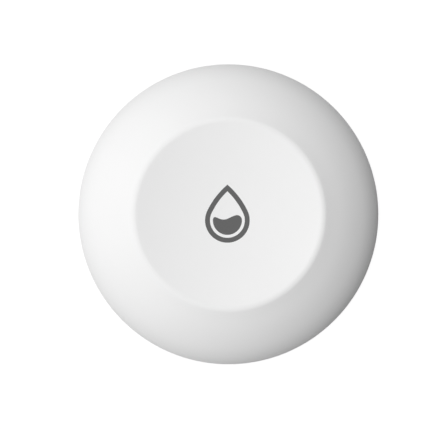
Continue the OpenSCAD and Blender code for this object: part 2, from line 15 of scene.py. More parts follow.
import bmesh
import bpy
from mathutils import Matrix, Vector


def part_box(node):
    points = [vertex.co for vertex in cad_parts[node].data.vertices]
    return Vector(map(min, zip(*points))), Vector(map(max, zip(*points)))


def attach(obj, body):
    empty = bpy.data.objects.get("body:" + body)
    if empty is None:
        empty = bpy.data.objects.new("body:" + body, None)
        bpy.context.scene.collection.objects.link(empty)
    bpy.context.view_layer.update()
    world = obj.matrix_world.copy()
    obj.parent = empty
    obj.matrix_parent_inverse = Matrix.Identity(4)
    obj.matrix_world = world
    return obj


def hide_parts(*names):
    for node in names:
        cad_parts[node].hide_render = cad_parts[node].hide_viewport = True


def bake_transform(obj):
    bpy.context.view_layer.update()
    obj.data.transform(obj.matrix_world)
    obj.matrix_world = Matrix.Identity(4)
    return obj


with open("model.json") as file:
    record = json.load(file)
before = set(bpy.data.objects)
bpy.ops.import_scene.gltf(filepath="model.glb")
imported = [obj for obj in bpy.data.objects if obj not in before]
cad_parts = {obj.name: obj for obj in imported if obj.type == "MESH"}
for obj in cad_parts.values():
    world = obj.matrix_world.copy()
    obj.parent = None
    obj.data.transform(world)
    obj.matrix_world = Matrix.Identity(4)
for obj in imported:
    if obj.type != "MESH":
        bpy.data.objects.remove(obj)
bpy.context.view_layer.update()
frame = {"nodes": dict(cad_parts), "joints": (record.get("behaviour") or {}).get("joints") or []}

LOG = logging.getLogger("leak_sensor")
MM = 0.001

# Facets of a full turn on the large rounds, and how far a cutter reaches past the face that it cuts.
SEGMENTS = 240
CLEARANCE = 1.0

Point = tuple[float, float]
Place = tuple[float, float, float]
Span = tuple[float, float]
Size = tuple[float, float, float]
Angles = tuple[float, ...]
Colour = tuple[float, float, float]
Signal = float | bpy.types.NodeSocket


@dataclass(frozen=True)
class Extent:
    """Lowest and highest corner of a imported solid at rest, in millimetres."""

    low: Place
    high: Place

    @classmethod
    def of(cls, node: str) -> "Extent":
        """Takes a solid's box from the frame, in hundredths, which evens out the facets of its rounds."""
        low, high = (tuple(round(value / MM, 2) for value in corner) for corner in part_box(node))
        return cls(low, high)

    @property
    def radius(self) -> float:
        """Radius of a round solid on the sensor's axis."""
        return self.high[0]

    @property
    def bottom(self) -> float:
        """Height of the lowest point."""
        return self.low[2]

    @property
    def top(self) -> float:
        """Height of the highest point."""
        return self.high[2]

    @property
    def size(self) -> Size:
        """Length along each axis."""
        x, y, z = (round(high - low, 2) for low, high in zip(self.low, self.high))
        return (x, y, z)

    @property
    def middle(self) -> Point:
        """Place of the middle, seen from above."""
        x, y, _ = (round((high + low) / 2, 3) for low, high in zip(self.low, self.high))
        return (x, y)


def hinge_limit(name: str) -> float:
    """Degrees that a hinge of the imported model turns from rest."""
    return next(float(joint["range_deg"][1]) for joint in frame["joints"] if joint["name"] == name)


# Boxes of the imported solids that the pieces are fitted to.
SHELL_BOX = Extent.of("top_shell")
GASKET_BOX = Extent.of("case_gasket")
BUTTON_BOX = Extent.of("button_dish")
DROP_BOX = Extent.of("drop_outline")
BASE_BOX = Extent.of("base_shell")
COVER_BOX = Extent.of("battery_cover")
COVER_SEAL_BOX = Extent.of("cover_seal")
PAD_BOX = Extent.of("cell_pad")
CELL_BOX = Extent.of("coin_cell")
PROBE_BOX = Extent.of("probe_screws")
PROBE_SEAL_BOX = Extent.of("probe_seals")
POST_BOX = Extent.of("probe_posts")

# Sizes that several sub-assemblies share: the radii of a probe's head and shank, the distance of probes and
# feet from the axis, the direction of the locked cover's mark, and the cover's turn.
HEAD_R = PROBE_BOX.high[1]
SHANK_R = 1.0
PROBE_PLACE = round(PROBE_BOX.high[0] - HEAD_R, 2)
LOCK_ANGLE = 60.0
OPEN_TURN = hinge_limit("cover_twist")


class Body(Enum):
    """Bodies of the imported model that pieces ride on."""

    HOUSING = "housing"
    BUTTON = "button"
    COVER = "cover"


class Shading(Enum):
    """How the normals of a piece are kept."""

    CURVED = "curved"
    FLAT_FACED = "flat_faced"


def slope_dir(slope: float) -> Point:
    """Outward normal in the half section of a surface that slopes down by the given degrees."""
    angle = math.radians(slope)
    return (math.sin(angle), math.cos(angle))


def polar(radius: float, angle: float) -> Point:
    """Point at a radius and an angle in degrees, seen from above."""
    return (radius * math.cos(math.radians(angle)), radius * math.sin(math.radians(angle)))


def turned(points: Iterable[Point], angle: float) -> list[Point]:
    """Points turned round the origin by an angle in degrees."""
    c, s = polar(1.0, angle)
    return [(c * x - s * y, s * x + c * y) for x, y in points]


def arc(centre: Point, radius: float, start: float, end: float, steps: int) -> list[Point]:
    """Points of an arc in the half section.

    Args:
        centre: Radius and height of the arc's middle.
        radius: Radius of the arc.
        start: Slope in degrees at the first point, 0 straight up and 90 outwards.
        end: Slope in degrees at the last point.
        steps: Number of steps from the first point to the last.

    Returns:
        The points, both ends included.
    """
    points = []
    for i in range(steps + 1):
        across, up = slope_dir(start + (end - start) * i / steps)
        points.append((centre[0] + radius * across, centre[1] + radius * up))
    return points


def line(start: Point, end: Point, steps: int) -> list[Point]:
    """Evenly spaced points of a straight line.

    Args:
        start: The first point.
        end: The last point.
        steps: Number of steps from the first point to the last.

    Returns:
        The points, both ends included.
    """
    shares = [i / steps for i in range(steps + 1)]
    return [(start[0] + (end[0] - start[0]) * t, start[1] + (end[1] - start[1]) * t) for t in shares]


def rounded_rectangle(length: float, width: float, corner: float, turn: float, steps: int = 6) -> list[Point]:
    """Outline of a rounded rectangle round the origin.

    Args:
        length: Length along the turned X axis.
        width: Width across it.
        corner: Radius of the corners.
        turn: Direction of the length, in degrees.
        steps: Steps in each corner.

    Returns:
        The outline's points, counterclockwise.
    """
    points = []
    for quarter, (sx, sy) in enumerate([(1, 1), (-1, 1), (-1, -1), (1, -1)]):
        for i in range(steps + 1):
            x, y = polar(corner, 90.0 * quarter + 90.0 * i / steps)
            points.append((x + sx * (length / 2 - corner), y + sy * (width / 2 - corner)))
    return turned(points, turn)


class Form:
    """Vertices and faces of one piece while it is shaped, in millimetres."""

    def __init__(self) -> None:
        """Starts an empty form."""
        self.points: list[Place] = []
        self.faces: list[tuple[int, ...]] = []

    def ring(self, points: Iterable[Place]) -> list[int]:
        """Adds a ring of points.

        Args:
            points: The ring's points, in order.

        Returns:
            The numbers of the points in the form.
        """
        first = len(self.points)
        self.points.extend(points)
        return list(range(first, len(self.points)))

    def skin(self, rings: Sequence[list[int]], closed: bool) -> None:
        """Joins neighbouring rings with faces; a ring of one point is a pole.

        Args:
            rings: Rings of point numbers, all of one length or of one point.
            closed: Whether the last ring is joined to the first.
        """
        following = list(rings[1:]) + ([rings[0]] if closed else [])
        for low, high in zip(rings, following):
            count = max(len(low), len(high))
            for i in range(count):
                j = (i + 1) % count
                if len(low) == 1:
                    self.faces.append((low[0], high[j], high[i]))
                elif len(high) == 1:
                    self.faces.append((low[i], low[j], high[0]))
                else:
                    self.faces.append((low[i], low[j], high[j], high[i]))

    def turn(
        self, profile: Sequence[Point], closed: bool, centre: Point = (0.0, 0.0), segments: int = SEGMENTS
    ) -> None:
        """Turns a half section round an upright axis.

        Args:
            profile: Radius and height of each point; an open profile starts and ends on the axis.
            closed: Whether the profile is a loop that stays off the axis.
            centre: Place of the axis.
            segments: Facets round the axis.
        """
        rings = []
        for radius, height in profile:
            if radius < 1e-6:
                rings.append(self.ring([(centre[0], centre[1], height)]))
                continue
            around = (polar(radius, 360.0 * i / segments) for i in range(segments))
            rings.append(self.ring((centre[0] + x, centre[1] + y, height) for x, y in around))
        self.skin(rings, closed)

    def loft(self, loops: Sequence[Sequence[Place]], closed: bool = False) -> None:
        """Joins loops of equal length to a solid.

        Args:
            loops: The loops, from one end to the other.
            closed: Whether the last loop is joined to the first; both ends are capped otherwise.
        """
        rings = [self.ring(loop) for loop in loops]
        self.skin(rings, closed)
        if not closed:
            self.faces.append(tuple(rings[0]))
            self.faces.append(tuple(rings[-1]))

    def sector(self, angle: float, width: float, section: Sequence[Point], steps: int = 12) -> None:
        """Turns a closed section through part of a circle.

        Args:
            angle: Middle of the sector, in degrees.
            width: Degrees that the sector covers.
            section: Radius and height of the section's points.
            steps: Steps along the sector.
        """
        loops = []
        for i in range(steps + 1):
            turn = angle - width / 2 + width * i / steps
            loops.append([(*polar(radius, turn), height) for radius, height in section])
        self.loft(loops)

    def mesh(self, name: str) -> bpy.types.Mesh:
        """Makes the form a mesh in metres, with its faces turned outwards.

        Args:
            name: Name of the mesh.

        Returns:
            The mesh.
        """
        made = bpy.data.meshes.new(name)
        made.from_pydata([(x * MM, y * MM, z * MM) for x, y, z in self.points], [], self.faces)
        shaped = bmesh.new()
        shaped.from_mesh(made)
        bmesh.ops.recalc_face_normals(shaped, faces=shaped.faces)
        shaped.to_mesh(made)
        shaped.free()
        return made

    def piece(self, name: str) -> bpy.types.Object:
        """Makes the form an object of the scene.

        Args:
            name: Name of the object and of its mesh.

        Returns:
            The object.
        """
        made = bpy.data.objects.new(name, self.mesh(name))
        bpy.context.scene.collection.objects.link(made)
        return made


def apply_modifiers(piece: bpy.types.Object) -> None:
    """Keeps the shape that a piece's modifiers give it, and removes them.

    Args:
        piece: The piece with its modifiers.
    """
    shaped = bpy.data.meshes.new_from_object(piece.evaluated_get(bpy.context.evaluated_depsgraph_get()))
    before = piece.data
    piece.modifiers.clear()
    piece.data = shaped
    bpy.data.meshes.remove(before)
    shaped.name = piece.name


def carve(piece: bpy.types.Object, cutters: Sequence[Form]) -> None:
    """Cuts forms out of a piece.

    Args:
        piece: The piece to cut.
        cutters: Closed forms, taken away one after the other.
    """
    tools = [cutter.piece(f"{piece.name}_cut") for cutter in cutters]
    for tool in tools:
        cut = piece.modifiers.new(tool.name, "BOOLEAN")
        cut.operation = "DIFFERENCE"
        cut.solver = "EXACT"
        cut.object = tool
    apply_modifiers(piece)
    for tool in tools:
        used = tool.data
        bpy.data.objects.remove(tool)
        bpy.data.meshes.remove(used)


def add_islands(piece: bpy.types.Object, islands: Form) -> None:
    """Adds closed forms that stand on a piece to its mesh.

    Args:
        piece: The piece that carries them.
        islands: The forms, sunk a little into the piece.
    """
    extra = islands.mesh(f"{piece.name}_islands")
    joined = bmesh.new()
    joined.from_mesh(piece.data)
    joined.from_mesh(extra)
    joined.to_mesh(piece.data)
    joined.free()
    bpy.data.meshes.remove(extra)


def smooth(piece: bpy.types.Object, shading: Shading, crease: float = 32.0) -> None:
    """Smooths a piece's normals between creases.

    Args:
        piece: The finished piece.
        shading: Whether large flat faces keep their own normals.
        crease: Angle in degrees above which an edge stays sharp.
    """
    piece.data.shade_smooth()
    piece.data.set_sharp_from_angle(angle=math.radians(crease))
    if shading is Shading.FLAT_FACED:
        weighted = piece.modifiers.new("flat_faces", "WEIGHTED_NORMAL")
        weighted.keep_sharp = True
        weighted.weight = 80
        apply_modifiers(piece)


class Wiring:
    """Short calls to add and join the nodes of one shader tree."""

    def __init__(self, tree: bpy.types.NodeTree) -> None:
        """Empties the tree."""
        self.tree = tree
        tree.nodes.clear()

    def add(self, kind: str, **settings: object) -> bpy.types.Node:
        """Adds a node.

        Args:
            kind: Kind of the shader node, such as Math.
            **settings: Its properties, by name.

        Returns:
            The node.
        """
        node = self.tree.nodes.new(f"ShaderNode{kind}")
        for name, value in settings.items():
            setattr(node, name, value)
        return node

    def join(self, source: bpy.types.NodeSocket, target: bpy.types.NodeSocket) -> None:
        """Links an output to an input."""
        self.tree.links.new(source, target)

    def feed(self, value: Signal, target: bpy.types.NodeSocket) -> None:
        """Links an output to an input, or sets the input to a number.

        Args:
            value: A number or an output.
            target: The input.
        """
        if isinstance(value, bpy.types.NodeSocket):
            self.join(value, target)
        else:
            target.default_value = value

    def math(self, operation: str, *values: Signal) -> bpy.types.NodeSocket:
        """Adds a sum of numbers or outputs.

        Args:
            operation: Name of the sum, such as MULTIPLY.
            *values: Numbers or outputs, in order.

        Returns:
            The output of the sum.
        """
        node = self.add("Math", operation=operation)
        for socket, value in zip(node.inputs, values):
            self.feed(value, socket)
        return node.outputs[0]

    def noise(self, vector: bpy.types.NodeSocket, scale: Signal, detail: float) -> bpy.types.NodeSocket:
        """Adds a noise.

        Args:
            vector: Output that holds the place.
            scale: Fineness of the noise.
            detail: Number of finer layers.

        Returns:
            The grey value of the noise.
        """
        node = self.add("TexNoise")
        node.inputs["Detail"].default_value = detail
        self.join(vector, node.inputs["Vector"])
        self.feed(scale, node.inputs["Scale"])
        return node.outputs["Fac"]

    def tint(self, low: Colour, high: Colour, share: bpy.types.NodeSocket) -> bpy.types.NodeSocket:
        """Adds a mix of two colours.

        Args:
            low: Colour where the share is 0.
            high: Colour where the share is 1.
            share: Output that holds the share.

        Returns:
            The mixed colour.
        """
        node = self.add("Mix", data_type="RGBA")
        given = {socket.identifier: socket for socket in node.inputs}
        given["A_Color"].default_value = (*low, 1.0)
        given["B_Color"].default_value = (*high, 1.0)
        self.join(share, given["Factor_Float"])
        return next(socket for socket in node.outputs if socket.identifier == "Result_Color")


class EffectGroup(ABC):
    """A surface effect that several finishes share, kept as one shader node group."""

    name: str
    inputs: tuple[str, ...]
    outputs: tuple[str, ...] = ("Height", "Tone")

    def tree(self) -> bpy.types.NodeTree:
        """Builds the group's tree at its first use.

        Returns:
            The tree.
        """
        made = bpy.data.node_groups.get(self.name)
        if made is None:
            made = bpy.data.node_groups.new(self.name, "ShaderNodeTree")
            for label in self.inputs:
                made.interface.new_socket(name=label, in_out="INPUT", socket_type="NodeSocketFloat")
            for label in self.outputs:
                made.interface.new_socket(name=label, in_out="OUTPUT", socket_type="NodeSocketFloat")
            wiring = Wiring(made)
            given = made.nodes.new("NodeGroupInput")
            result = made.nodes.new("NodeGroupOutput")
            for label, socket in self.wire(wiring, given).items():
                wiring.join(socket, result.inputs[label])
        return made

    def place(self, wiring: Wiring, **values: float) -> bpy.types.Node:
        """Places the group in a material.

        Args:
            wiring: The material's tree.
            **values: The group's inputs by name, with _ for a space.

        Returns:
            The group's node.
        """
        node = wiring.add("Group", node_tree=self.tree())
        for label, value in values.items():
            node.inputs[label.replace("_", " ")].default_value = value
        return node

    @abstractmethod
    def wire(self, wiring: Wiring, given: bpy.types.Node) -> dict[str, bpy.types.NodeSocket]:
        """Wires the effect.

        Args:
            wiring: The group's tree.
            given: Node that holds the group's inputs.

        Returns:
            The socket of each output, by name.
        """


class MouldGrain(EffectGroup):
    """Fine spark-eroded grain with broad, faint changes of tone."""

    name = "mould_grain"
    inputs = ("Fineness", "Breadth")
    pit_fineness = 0.45
    pit_depth = 0.6

    def wire(self, wiring: Wiring, given: bpy.types.Node) -> dict[str, bpy.types.NodeSocket]:
        """Mixes two sizes of grain and a broad tone.

        Args:
            wiring: The group's tree.
            given: Node that holds the group's inputs.

        Returns:
            The socket of each output, by name.
        """
        place = wiring.add("TexCoord").outputs["Object"]
        fine = wiring.noise(place, given.outputs["Fineness"], 3.0)
        pits = wiring.add("TexVoronoi", feature="SMOOTH_F1")
        wiring.join(place, pits.inputs["Vector"])
        fineness = wiring.math("MULTIPLY", given.outputs["Fineness"], self.pit_fineness)
        wiring.join(fineness, pits.inputs["Scale"])
        relief = wiring.math("MULTIPLY", pits.outputs["Distance"], self.pit_depth)
        height = wiring.math("ADD", fine, relief)
        tone = wiring.noise(place, given.outputs["Breadth"], 4.0)
        return {"Height": height, "Tone": tone}


class TurnedLines(EffectGroup):
    """Rings left by a lathe, round upright axes at the same distance on both sides."""

    name = "turned_lines"
    inputs = ("Axis Distance", "Fineness", "Breadth")
    upright_share = 0.4

    def wire(self, wiring: Wiring, given: bpy.types.Node) -> dict[str, bpy.types.NodeSocket]:
        """Makes uneven rings from the distance to the nearer axis.

        Args:
            wiring: The group's tree.
            given: Node that holds the group's inputs.

        Returns:
            The socket of each output, by name.
        """
        place = wiring.add("TexCoord").outputs["Object"]
        parts = wiring.add("SeparateXYZ")
        wiring.join(place, parts.inputs["Vector"])
        aside = wiring.math("ABSOLUTE", parts.outputs["X"])
        flat = wiring.add("CombineXYZ")
        wiring.join(wiring.math("SUBTRACT", aside, given.outputs["Axis Distance"]), flat.inputs["X"])
        wiring.join(parts.outputs["Y"], flat.inputs["Y"])
        radius = wiring.add("VectorMath", operation="LENGTH")
        wiring.join(flat.outputs["Vector"], radius.inputs[0])
        stretched = wiring.add("CombineXYZ")
        wiring.join(radius.outputs["Value"], stretched.inputs["X"])
        wiring.join(wiring.math("MULTIPLY", parts.outputs["Z"], self.upright_share), stretched.inputs["Z"])
        rings = wiring.noise(stretched.outputs["Vector"], given.outputs["Fineness"], 2.0)
        tone = wiring.noise(place, given.outputs["Breadth"], 3.0)
        return {"Height": rings, "Tone": wiring.math("MULTIPLY", rings, tone)}


class DrawnLines(EffectGroup):
    """Long fine lines along X that rolling or drawing leaves in sheet metal."""

    name = "drawn_lines"
    inputs = ("Fineness", "Stretch", "Breadth")

    def wire(self, wiring: Wiring, given: bpy.types.Node) -> dict[str, bpy.types.NodeSocket]:
        """Stretches a noise along X.

        Args:
            wiring: The group's tree.
            given: Node that holds the group's inputs.

        Returns:
            The socket of each output, by name.
        """
        place = wiring.add("TexCoord").outputs["Object"]
        parts = wiring.add("SeparateXYZ")
        wiring.join(place, parts.inputs["Vector"])
        drawn = wiring.add("CombineXYZ")
        wiring.join(wiring.math("DIVIDE", parts.outputs["X"], given.outputs["Stretch"]), drawn.inputs["X"])
        wiring.join(parts.outputs["Y"], drawn.inputs["Y"])
        wiring.join(parts.outputs["Z"], drawn.inputs["Z"])
        lines = wiring.noise(drawn.outputs["Vector"], given.outputs["Fineness"], 3.0)
        tone = wiring.noise(place, given.outputs["Breadth"], 4.0)
        return {"Height": lines, "Tone": tone}


class CopperTracks(EffectGroup):
    """Squared tracks and pads that show as relief under a board's lacquer."""

    name = "copper_tracks"
    inputs = ("Fineness",)
    disorder = 0.6
    track_step = 0.17
    track_count = 3.0

    def wire(self, wiring: Wiring, given: bpy.types.Node) -> dict[str, bpy.types.NodeSocket]:
        """Takes the borders of squared cells as tracks.

        Args:
            wiring: The group's tree.
            given: Node that holds the group's inputs.

        Returns:
            The socket of each output, by name.
        """
        place = wiring.add("TexCoord").outputs["Object"]
        cells = wiring.add("TexVoronoi", feature="F1", distance="CHEBYCHEV")
        cells.inputs["Randomness"].default_value = self.disorder
        wiring.join(place, cells.inputs["Vector"])
        wiring.join(given.outputs["Fineness"], cells.inputs["Scale"])
        steps = wiring.math("SNAP", cells.outputs["Distance"], self.track_step)
        tracks = wiring.math("PINGPONG", wiring.math("MULTIPLY", steps, self.track_count), 1.0)
        return {"Height": tracks, "Tone": tracks}


@dataclass(frozen=True)
class Finish(ABC):
    """A finish of one material slot: its colour, how far its tone and gloss vary, and its relief."""

    slot: str
    colour: Colour
    spread: float
    roughness: float
    gloss_spread: float = 0.06
    metallic: float = 0.0
    specular: float = 0.5
    bump: float = 0.003
    bump_strength: float = 0.5

    @abstractmethod
    def effect(self, wiring: Wiring) -> bpy.types.Node:
        """Places the finish's surface effect."""

    def settle(self, shader: bpy.types.Node) -> None:
        """Sets the even values of the shader."""
        shader.inputs["Metallic"].default_value = self.metallic
        shader.inputs["Specular IOR Level"].default_value = self.specular

    def shade(self, share: float) -> Colour:
        """The finish's colour, made darker or lighter by a share."""
        red, green, blue = (min(1.0, part * share) for part in self.colour)
        return (red, green, blue)

    def material(self) -> bpy.types.Material:
        """Builds the finish's material at its first use.

        Returns:
            The material.
        """
        made = bpy.data.materials.get(f"finish_{self.slot}")
        if made is None:
            made = bpy.data.materials.new(f"finish_{self.slot}")
            made.use_nodes = True
            self.wire(Wiring(made.node_tree))
        return made

    def wire(self, wiring: Wiring) -> None:
        """Joins the effect to the colour, the gloss and the relief of the surface.

        Args:
            wiring: The material's tree.
        """
        shader = wiring.add("BsdfPrincipled")
        self.settle(shader)
        effect = self.effect(wiring)
        low, high = self.shade(1.0 - self.spread), self.shade(1.0 + self.spread)
        wiring.join(wiring.tint(low, high, effect.outputs["Tone"]), shader.inputs["Base Color"])
        gloss = wiring.add("MapRange")
        gloss.inputs["To Min"].default_value = self.roughness - self.gloss_spread
        gloss.inputs["To Max"].default_value = self.roughness + self.gloss_spread
        wiring.join(effect.outputs["Tone"], gloss.inputs["Value"])
        wiring.join(gloss.outputs["Result"], shader.inputs["Roughness"])
        relief = wiring.add("Bump")
        relief.inputs["Strength"].default_value = self.bump_strength
        relief.inputs["Distance"].default_value = self.bump * MM
        wiring.join(effect.outputs["Height"], relief.inputs["Height"])
        wiring.join(relief.outputs["Normal"], shader.inputs["Normal"])
        output = wiring.add("OutputMaterial")
        wiring.join(shader.outputs["BSDF"], output.inputs["Surface"])


@dataclass(frozen=True)
class Moulded(Finish):
    """Moulded plastic, rubber, print or fired body with a fine grain."""

    fineness: float = 7000.0
    breadth: float = 120.0

    def effect(self, wiring: Wiring) -> bpy.types.Node:
        """Places the mould's grain."""
        return MouldGrain().place(wiring, Fineness=self.fineness, Breadth=self.breadth)


@dataclass(frozen=True)
class Turned(Finish):
    """Metal turned on a lathe."""

    axis_distance: float = PROBE_PLACE
    fineness: float = 9000.0
    breadth: float = 900.0

    def effect(self, wiring: Wiring) -> bpy.types.Node:
        """Places the lathe's rings."""
        axis = self.axis_distance * MM
        return TurnedLines().place(wiring, Axis_Distance=axis, Fineness=self.fineness, Breadth=self.breadth)


@dataclass(frozen=True)
class Drawn(Finish):
    """Rolled, drawn or plated sheet metal."""

    fineness: float = 6000.0
    stretch: float = 30.0
    breadth: float = 350.0

    def effect(self, wiring: Wiring) -> bpy.types.Node:
        """Places the rolling lines."""
        return DrawnLines().place(wiring, Fineness=self.fineness, Stretch=self.stretch, Breadth=self.breadth)


@dataclass(frozen=True)
class Lacquered(Finish):
    """Green lacquer over copper tracks."""

    fineness: float = 420.0
    coat: float = 0.6
    coat_roughness: float = 0.15

    def effect(self, wiring: Wiring) -> bpy.types.Node:
        """Places the copper tracks."""
        return CopperTracks().place(wiring, Fineness=self.fineness)

    def settle(self, shader: bpy.types.Node) -> None:
        """Adds the lacquer's clear skin.

        Args:
            shader: The material's shader.
        """
        super().settle(shader)
        shader.inputs["Coat Roughness"].default_value = self.coat_roughness
        shader.inputs["Coat Weight"].default_value = self.coat


@dataclass(frozen=True)
class CastResin(Moulded):
    """Clear cast resin over the light-emitting chip."""

    clearness: float = 0.55
    ior: float = 1.5

    def settle(self, shader: bpy.types.Node) -> None:
        """Lets light into the resin.

        Args:
            shader: The material's shader.
        """
        super().settle(shader)
        shader.inputs["Transmission Weight"].default_value = self.clearness
        shader.inputs["IOR"].default_value = self.ior


def grey(value: float) -> Colour:
    """A neutral colour."""
    return (value, value, value)


SHELL_WHITE = Moulded("shell_white", grey(0.86), 0.012, 0.72, specular=0.2)
DISH_WHITE = Moulded("dish_white", grey(0.86), 0.012, 0.72, specular=0.2)
SYMBOL_GREY = Moulded("symbol_grey", grey(0.125), 0.03, 0.66, specular=0.2, bump=0.002)
BASE_WHITE = Moulded("base_white", grey(0.82), 0.015, 0.76, specular=0.25, bump=0.005, fineness=5000.0)
GASKET_GREY = Moulded("gasket_grey", (0.2, 0.2, 0.21), 0.06, 0.62)
SEAL_BLACK = Moulded("seal_black", grey(0.03), 0.1, 0.5)
FOAM_GREY = Moulded(
    "foam_grey", grey(0.12), 0.2, 0.9, specular=0.1, bump=0.08, bump_strength=1.0, fineness=2600.0
)
CELL_STEEL = Drawn("cell_steel", (0.62, 0.62, 0.63), 0.06, 0.3, metallic=1.0, bump=0.001, stretch=1.0)
HOLDER_BLACK = Moulded("holder_black", grey(0.03), 0.12, 0.6)
CONTACT_BRONZE = Drawn("contact_bronze", (0.78, 0.58, 0.3), 0.06, 0.28, metallic=1.0, bump=0.001)
BOARD_GREEN = Lacquered("board_green", (0.02, 0.13, 0.06), 0.25, 0.4, bump=0.02)
SCREW_STEEL = Drawn("screw_steel", (0.55, 0.55, 0.56), 0.08, 0.34, metallic=1.0, bump=0.002, stretch=2.0)
SWITCH_BLACK = Moulded("switch_black", grey(0.03), 0.1, 0.55)
TIN = Drawn("tin", grey(0.66), 0.06, 0.32, metallic=1.0, bump=0.002, stretch=12.0)
ANTENNA_IVORY = Moulded("antenna_ivory", (0.8, 0.77, 0.68), 0.04, 0.5)
CHIP_BLACK = Moulded("chip_black", grey(0.02), 0.15, 0.6, bump=0.004)
CAPACITOR_TAN = Moulded("capacitor_tan", (0.45, 0.32, 0.2), 0.08, 0.45)
LED_CLEAR = CastResin("led_clear", (0.8, 0.8, 0.72), 0.03, 0.2)
PROBE_STEEL = Turned("probe_steel", (0.68, 0.68, 0.69), 0.07, 0.26, metallic=1.0)
POST_BRASS = Turned("post_brass", (0.75, 0.56, 0.26), 0.07, 0.3, metallic=1.0)


@dataclass(frozen=True)
class DomeLine:
    """Half section of the housing's outside: shoulder, flank, brow, rounded crest and dish."""

    body_r: float = SHELL_BOX.radius
    body_h: float = SHELL_BOX.top
    parting_z: float = SHELL_BOX.bottom
    shoulder_r: float = 11.3
    flank_r: float = 22.0
    flank_slope: float = 48.0
    brow_slope: float = 34.5
    crest_r: float = 1.5
    dish_depth: float = 1.6
    lip_w: float = 0.9
    wall: float = 1.6

    @property
    def inner_r(self) -> float:
        """Radius inside the wall at the parting."""
        return self.body_r - self.wall

    @property
    def shoulder_c(self) -> Point:
        """Middle of the shoulder's arc."""
        return (self.body_r - self.shoulder_r, self.parting_z)

    @property
    def flank_c(self) -> Point:
        """Middle of the flatter arc above the shoulder.

        Returns:
            Its radius and height.
        """
        across, up = slope_dir(self.flank_slope)
        drop = self.flank_r - self.shoulder_r
        return (self.shoulder_c[0] - drop * across, self.shoulder_c[1] - drop * up)

    @property
    def crest_c(self) -> Point:
        """Middle of the rounded crest, on the end of the straight brow.

        Returns:
            Its radius and height.
        """
        across, up = slope_dir(self.brow_slope)
        foot = (self.flank_c[0] + self.flank_r * across, self.flank_c[1] + self.flank_r * up)
        top_z = self.body_h - self.crest_r + self.crest_r * up
        top_r = foot[0] - (top_z - foot[1]) / math.tan(math.radians(self.brow_slope))
        return (top_r - self.crest_r * across, self.body_h - self.crest_r)

    @property
    def dish_reach(self) -> float:
        """Distance from the dish's middle to the crest's."""
        rim = self.crest_c[0]
        return (rim * rim + self.dish_depth * self.dish_depth) / (2 * self.dish_depth)

    @property
    def dish_r(self) -> float:
        """Radius of the dish's sphere."""
        return self.dish_reach - self.crest_r

    @property
    def dish_slope(self) -> float:
        """Slope in degrees where the dish passes into the crest."""
        return math.degrees(math.asin(self.crest_c[0] / self.dish_reach))

    @property
    def opening_r(self) -> float:
        """Radius at which the fixed lip ends."""
        return self.crest_c[0] - self.lip_w

    def dish_height(self, radius: float, depth: float = 0.0) -> float:
        """Height of the dish's surface at a radius, or of a layer that lies deeper."""
        reach = self.dish_r + depth
        return self.body_h - self.dish_depth + self.dish_r - math.sqrt(reach * reach - radius * radius)

    def dish_layer(self, start: float, end: float, depth: float, steps: int) -> list[Point]:
        """Points of the dish, or of a deeper layer, between two radii."""
        return [(r, self.dish_height(r, depth)) for r, _ in line((start, 0.0), (end, 0.0), steps)]

    def outside(self, inset: float, first: float) -> list[Point]:
        """Points of shoulder, flank and brow, moved inwards.

        Args:
            inset: Distance inwards from the outside.
            first: Slope in degrees at the first point.

        Returns:
            The points from the shoulder up to the foot of the brow.
        """
        shoulder = arc(self.shoulder_c, self.shoulder_r - inset, first, self.flank_slope, 30)
        flank = arc(self.flank_c, self.flank_r - inset, self.flank_slope, self.brow_slope, 12)
        return shoulder + flank[1:]


@dataclass(frozen=True)
class BatteryBay:
    """Sizes of the bayonet that base and battery cover share, from the coin cell outwards."""

    cell_gap: float = 0.3
    spigot_wall: float = 0.7
    lug_reach: float = 0.8
    lug_t: float = 0.8
    lug_play: float = 0.1
    lug_width: float = 24.0
    lug_play_turn: float = 3.0
    lug_count: int = 3
    cover_gap: float = 0.15

    @property
    def spigot_r(self) -> Span:
        """Inner and outer radius of the cover's spigot."""
        inner = CELL_BOX.radius + self.cell_gap
        return (inner, inner + self.spigot_wall)

    @property
    def lug_r(self) -> Span:
        """Inner and outer radius of a lug, which is rooted in the spigot."""
        spigot = self.spigot_r[1]
        return (spigot - self.spigot_wall / 2, spigot + self.lug_reach)

    @property
    def lug_z(self) -> Span:
        """Lower and upper height of a lug."""
        top = COVER_BOX.top - self.lug_play
        return (top - self.lug_t, top)

    @property
    def lug_angles(self) -> Angles:
        """Directions of the lugs while the cover is locked."""
        return tuple(360.0 * i / self.lug_count for i in range(self.lug_count))

    @property
    def bore_r(self) -> float:
        """Radius of the base's bore round the lugs."""
        return self.lug_r[1] + self.cover_gap

    @property
    def recess_r(self) -> float:
        """Radius of the base's recess round the cover."""
        return COVER_BOX.radius + self.cover_gap


class SubAssembly(ABC):
    """A group of pieces that is shaped, dressed and set on its bodies together."""

    @abstractmethod
    def build(self) -> None:
        """Shapes the pieces."""

    @abstractmethod
    def dress(self) -> None:
        """Gives the pieces their finishes and bodies."""

    def seat(self, piece: bpy.types.Object, body: Body, finish: Finish, *nodes: str) -> None:
        """Sets a piece on its body, in its finish and in place of its solids.

        Args:
            piece: The shaped piece.
            body: The body that it rides on.
            finish: Its finish.
            *nodes: The solids that it stands for.
        """
        self.coat(piece, finish)
        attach(piece, body.value)
        if nodes:
            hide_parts(*nodes)

    def coat(self, piece: bpy.types.Object, finish: Finish) -> None:
        """Gives a piece its finish and slot.

        Args:
            piece: The shaped piece.
            finish: Its finish.
        """
        piece.data.materials.clear()
        piece.data.materials.append(finish.material())
        LOG.info("%s: %d faces, %s", piece.name, len(piece.data.polygons), finish.slot)


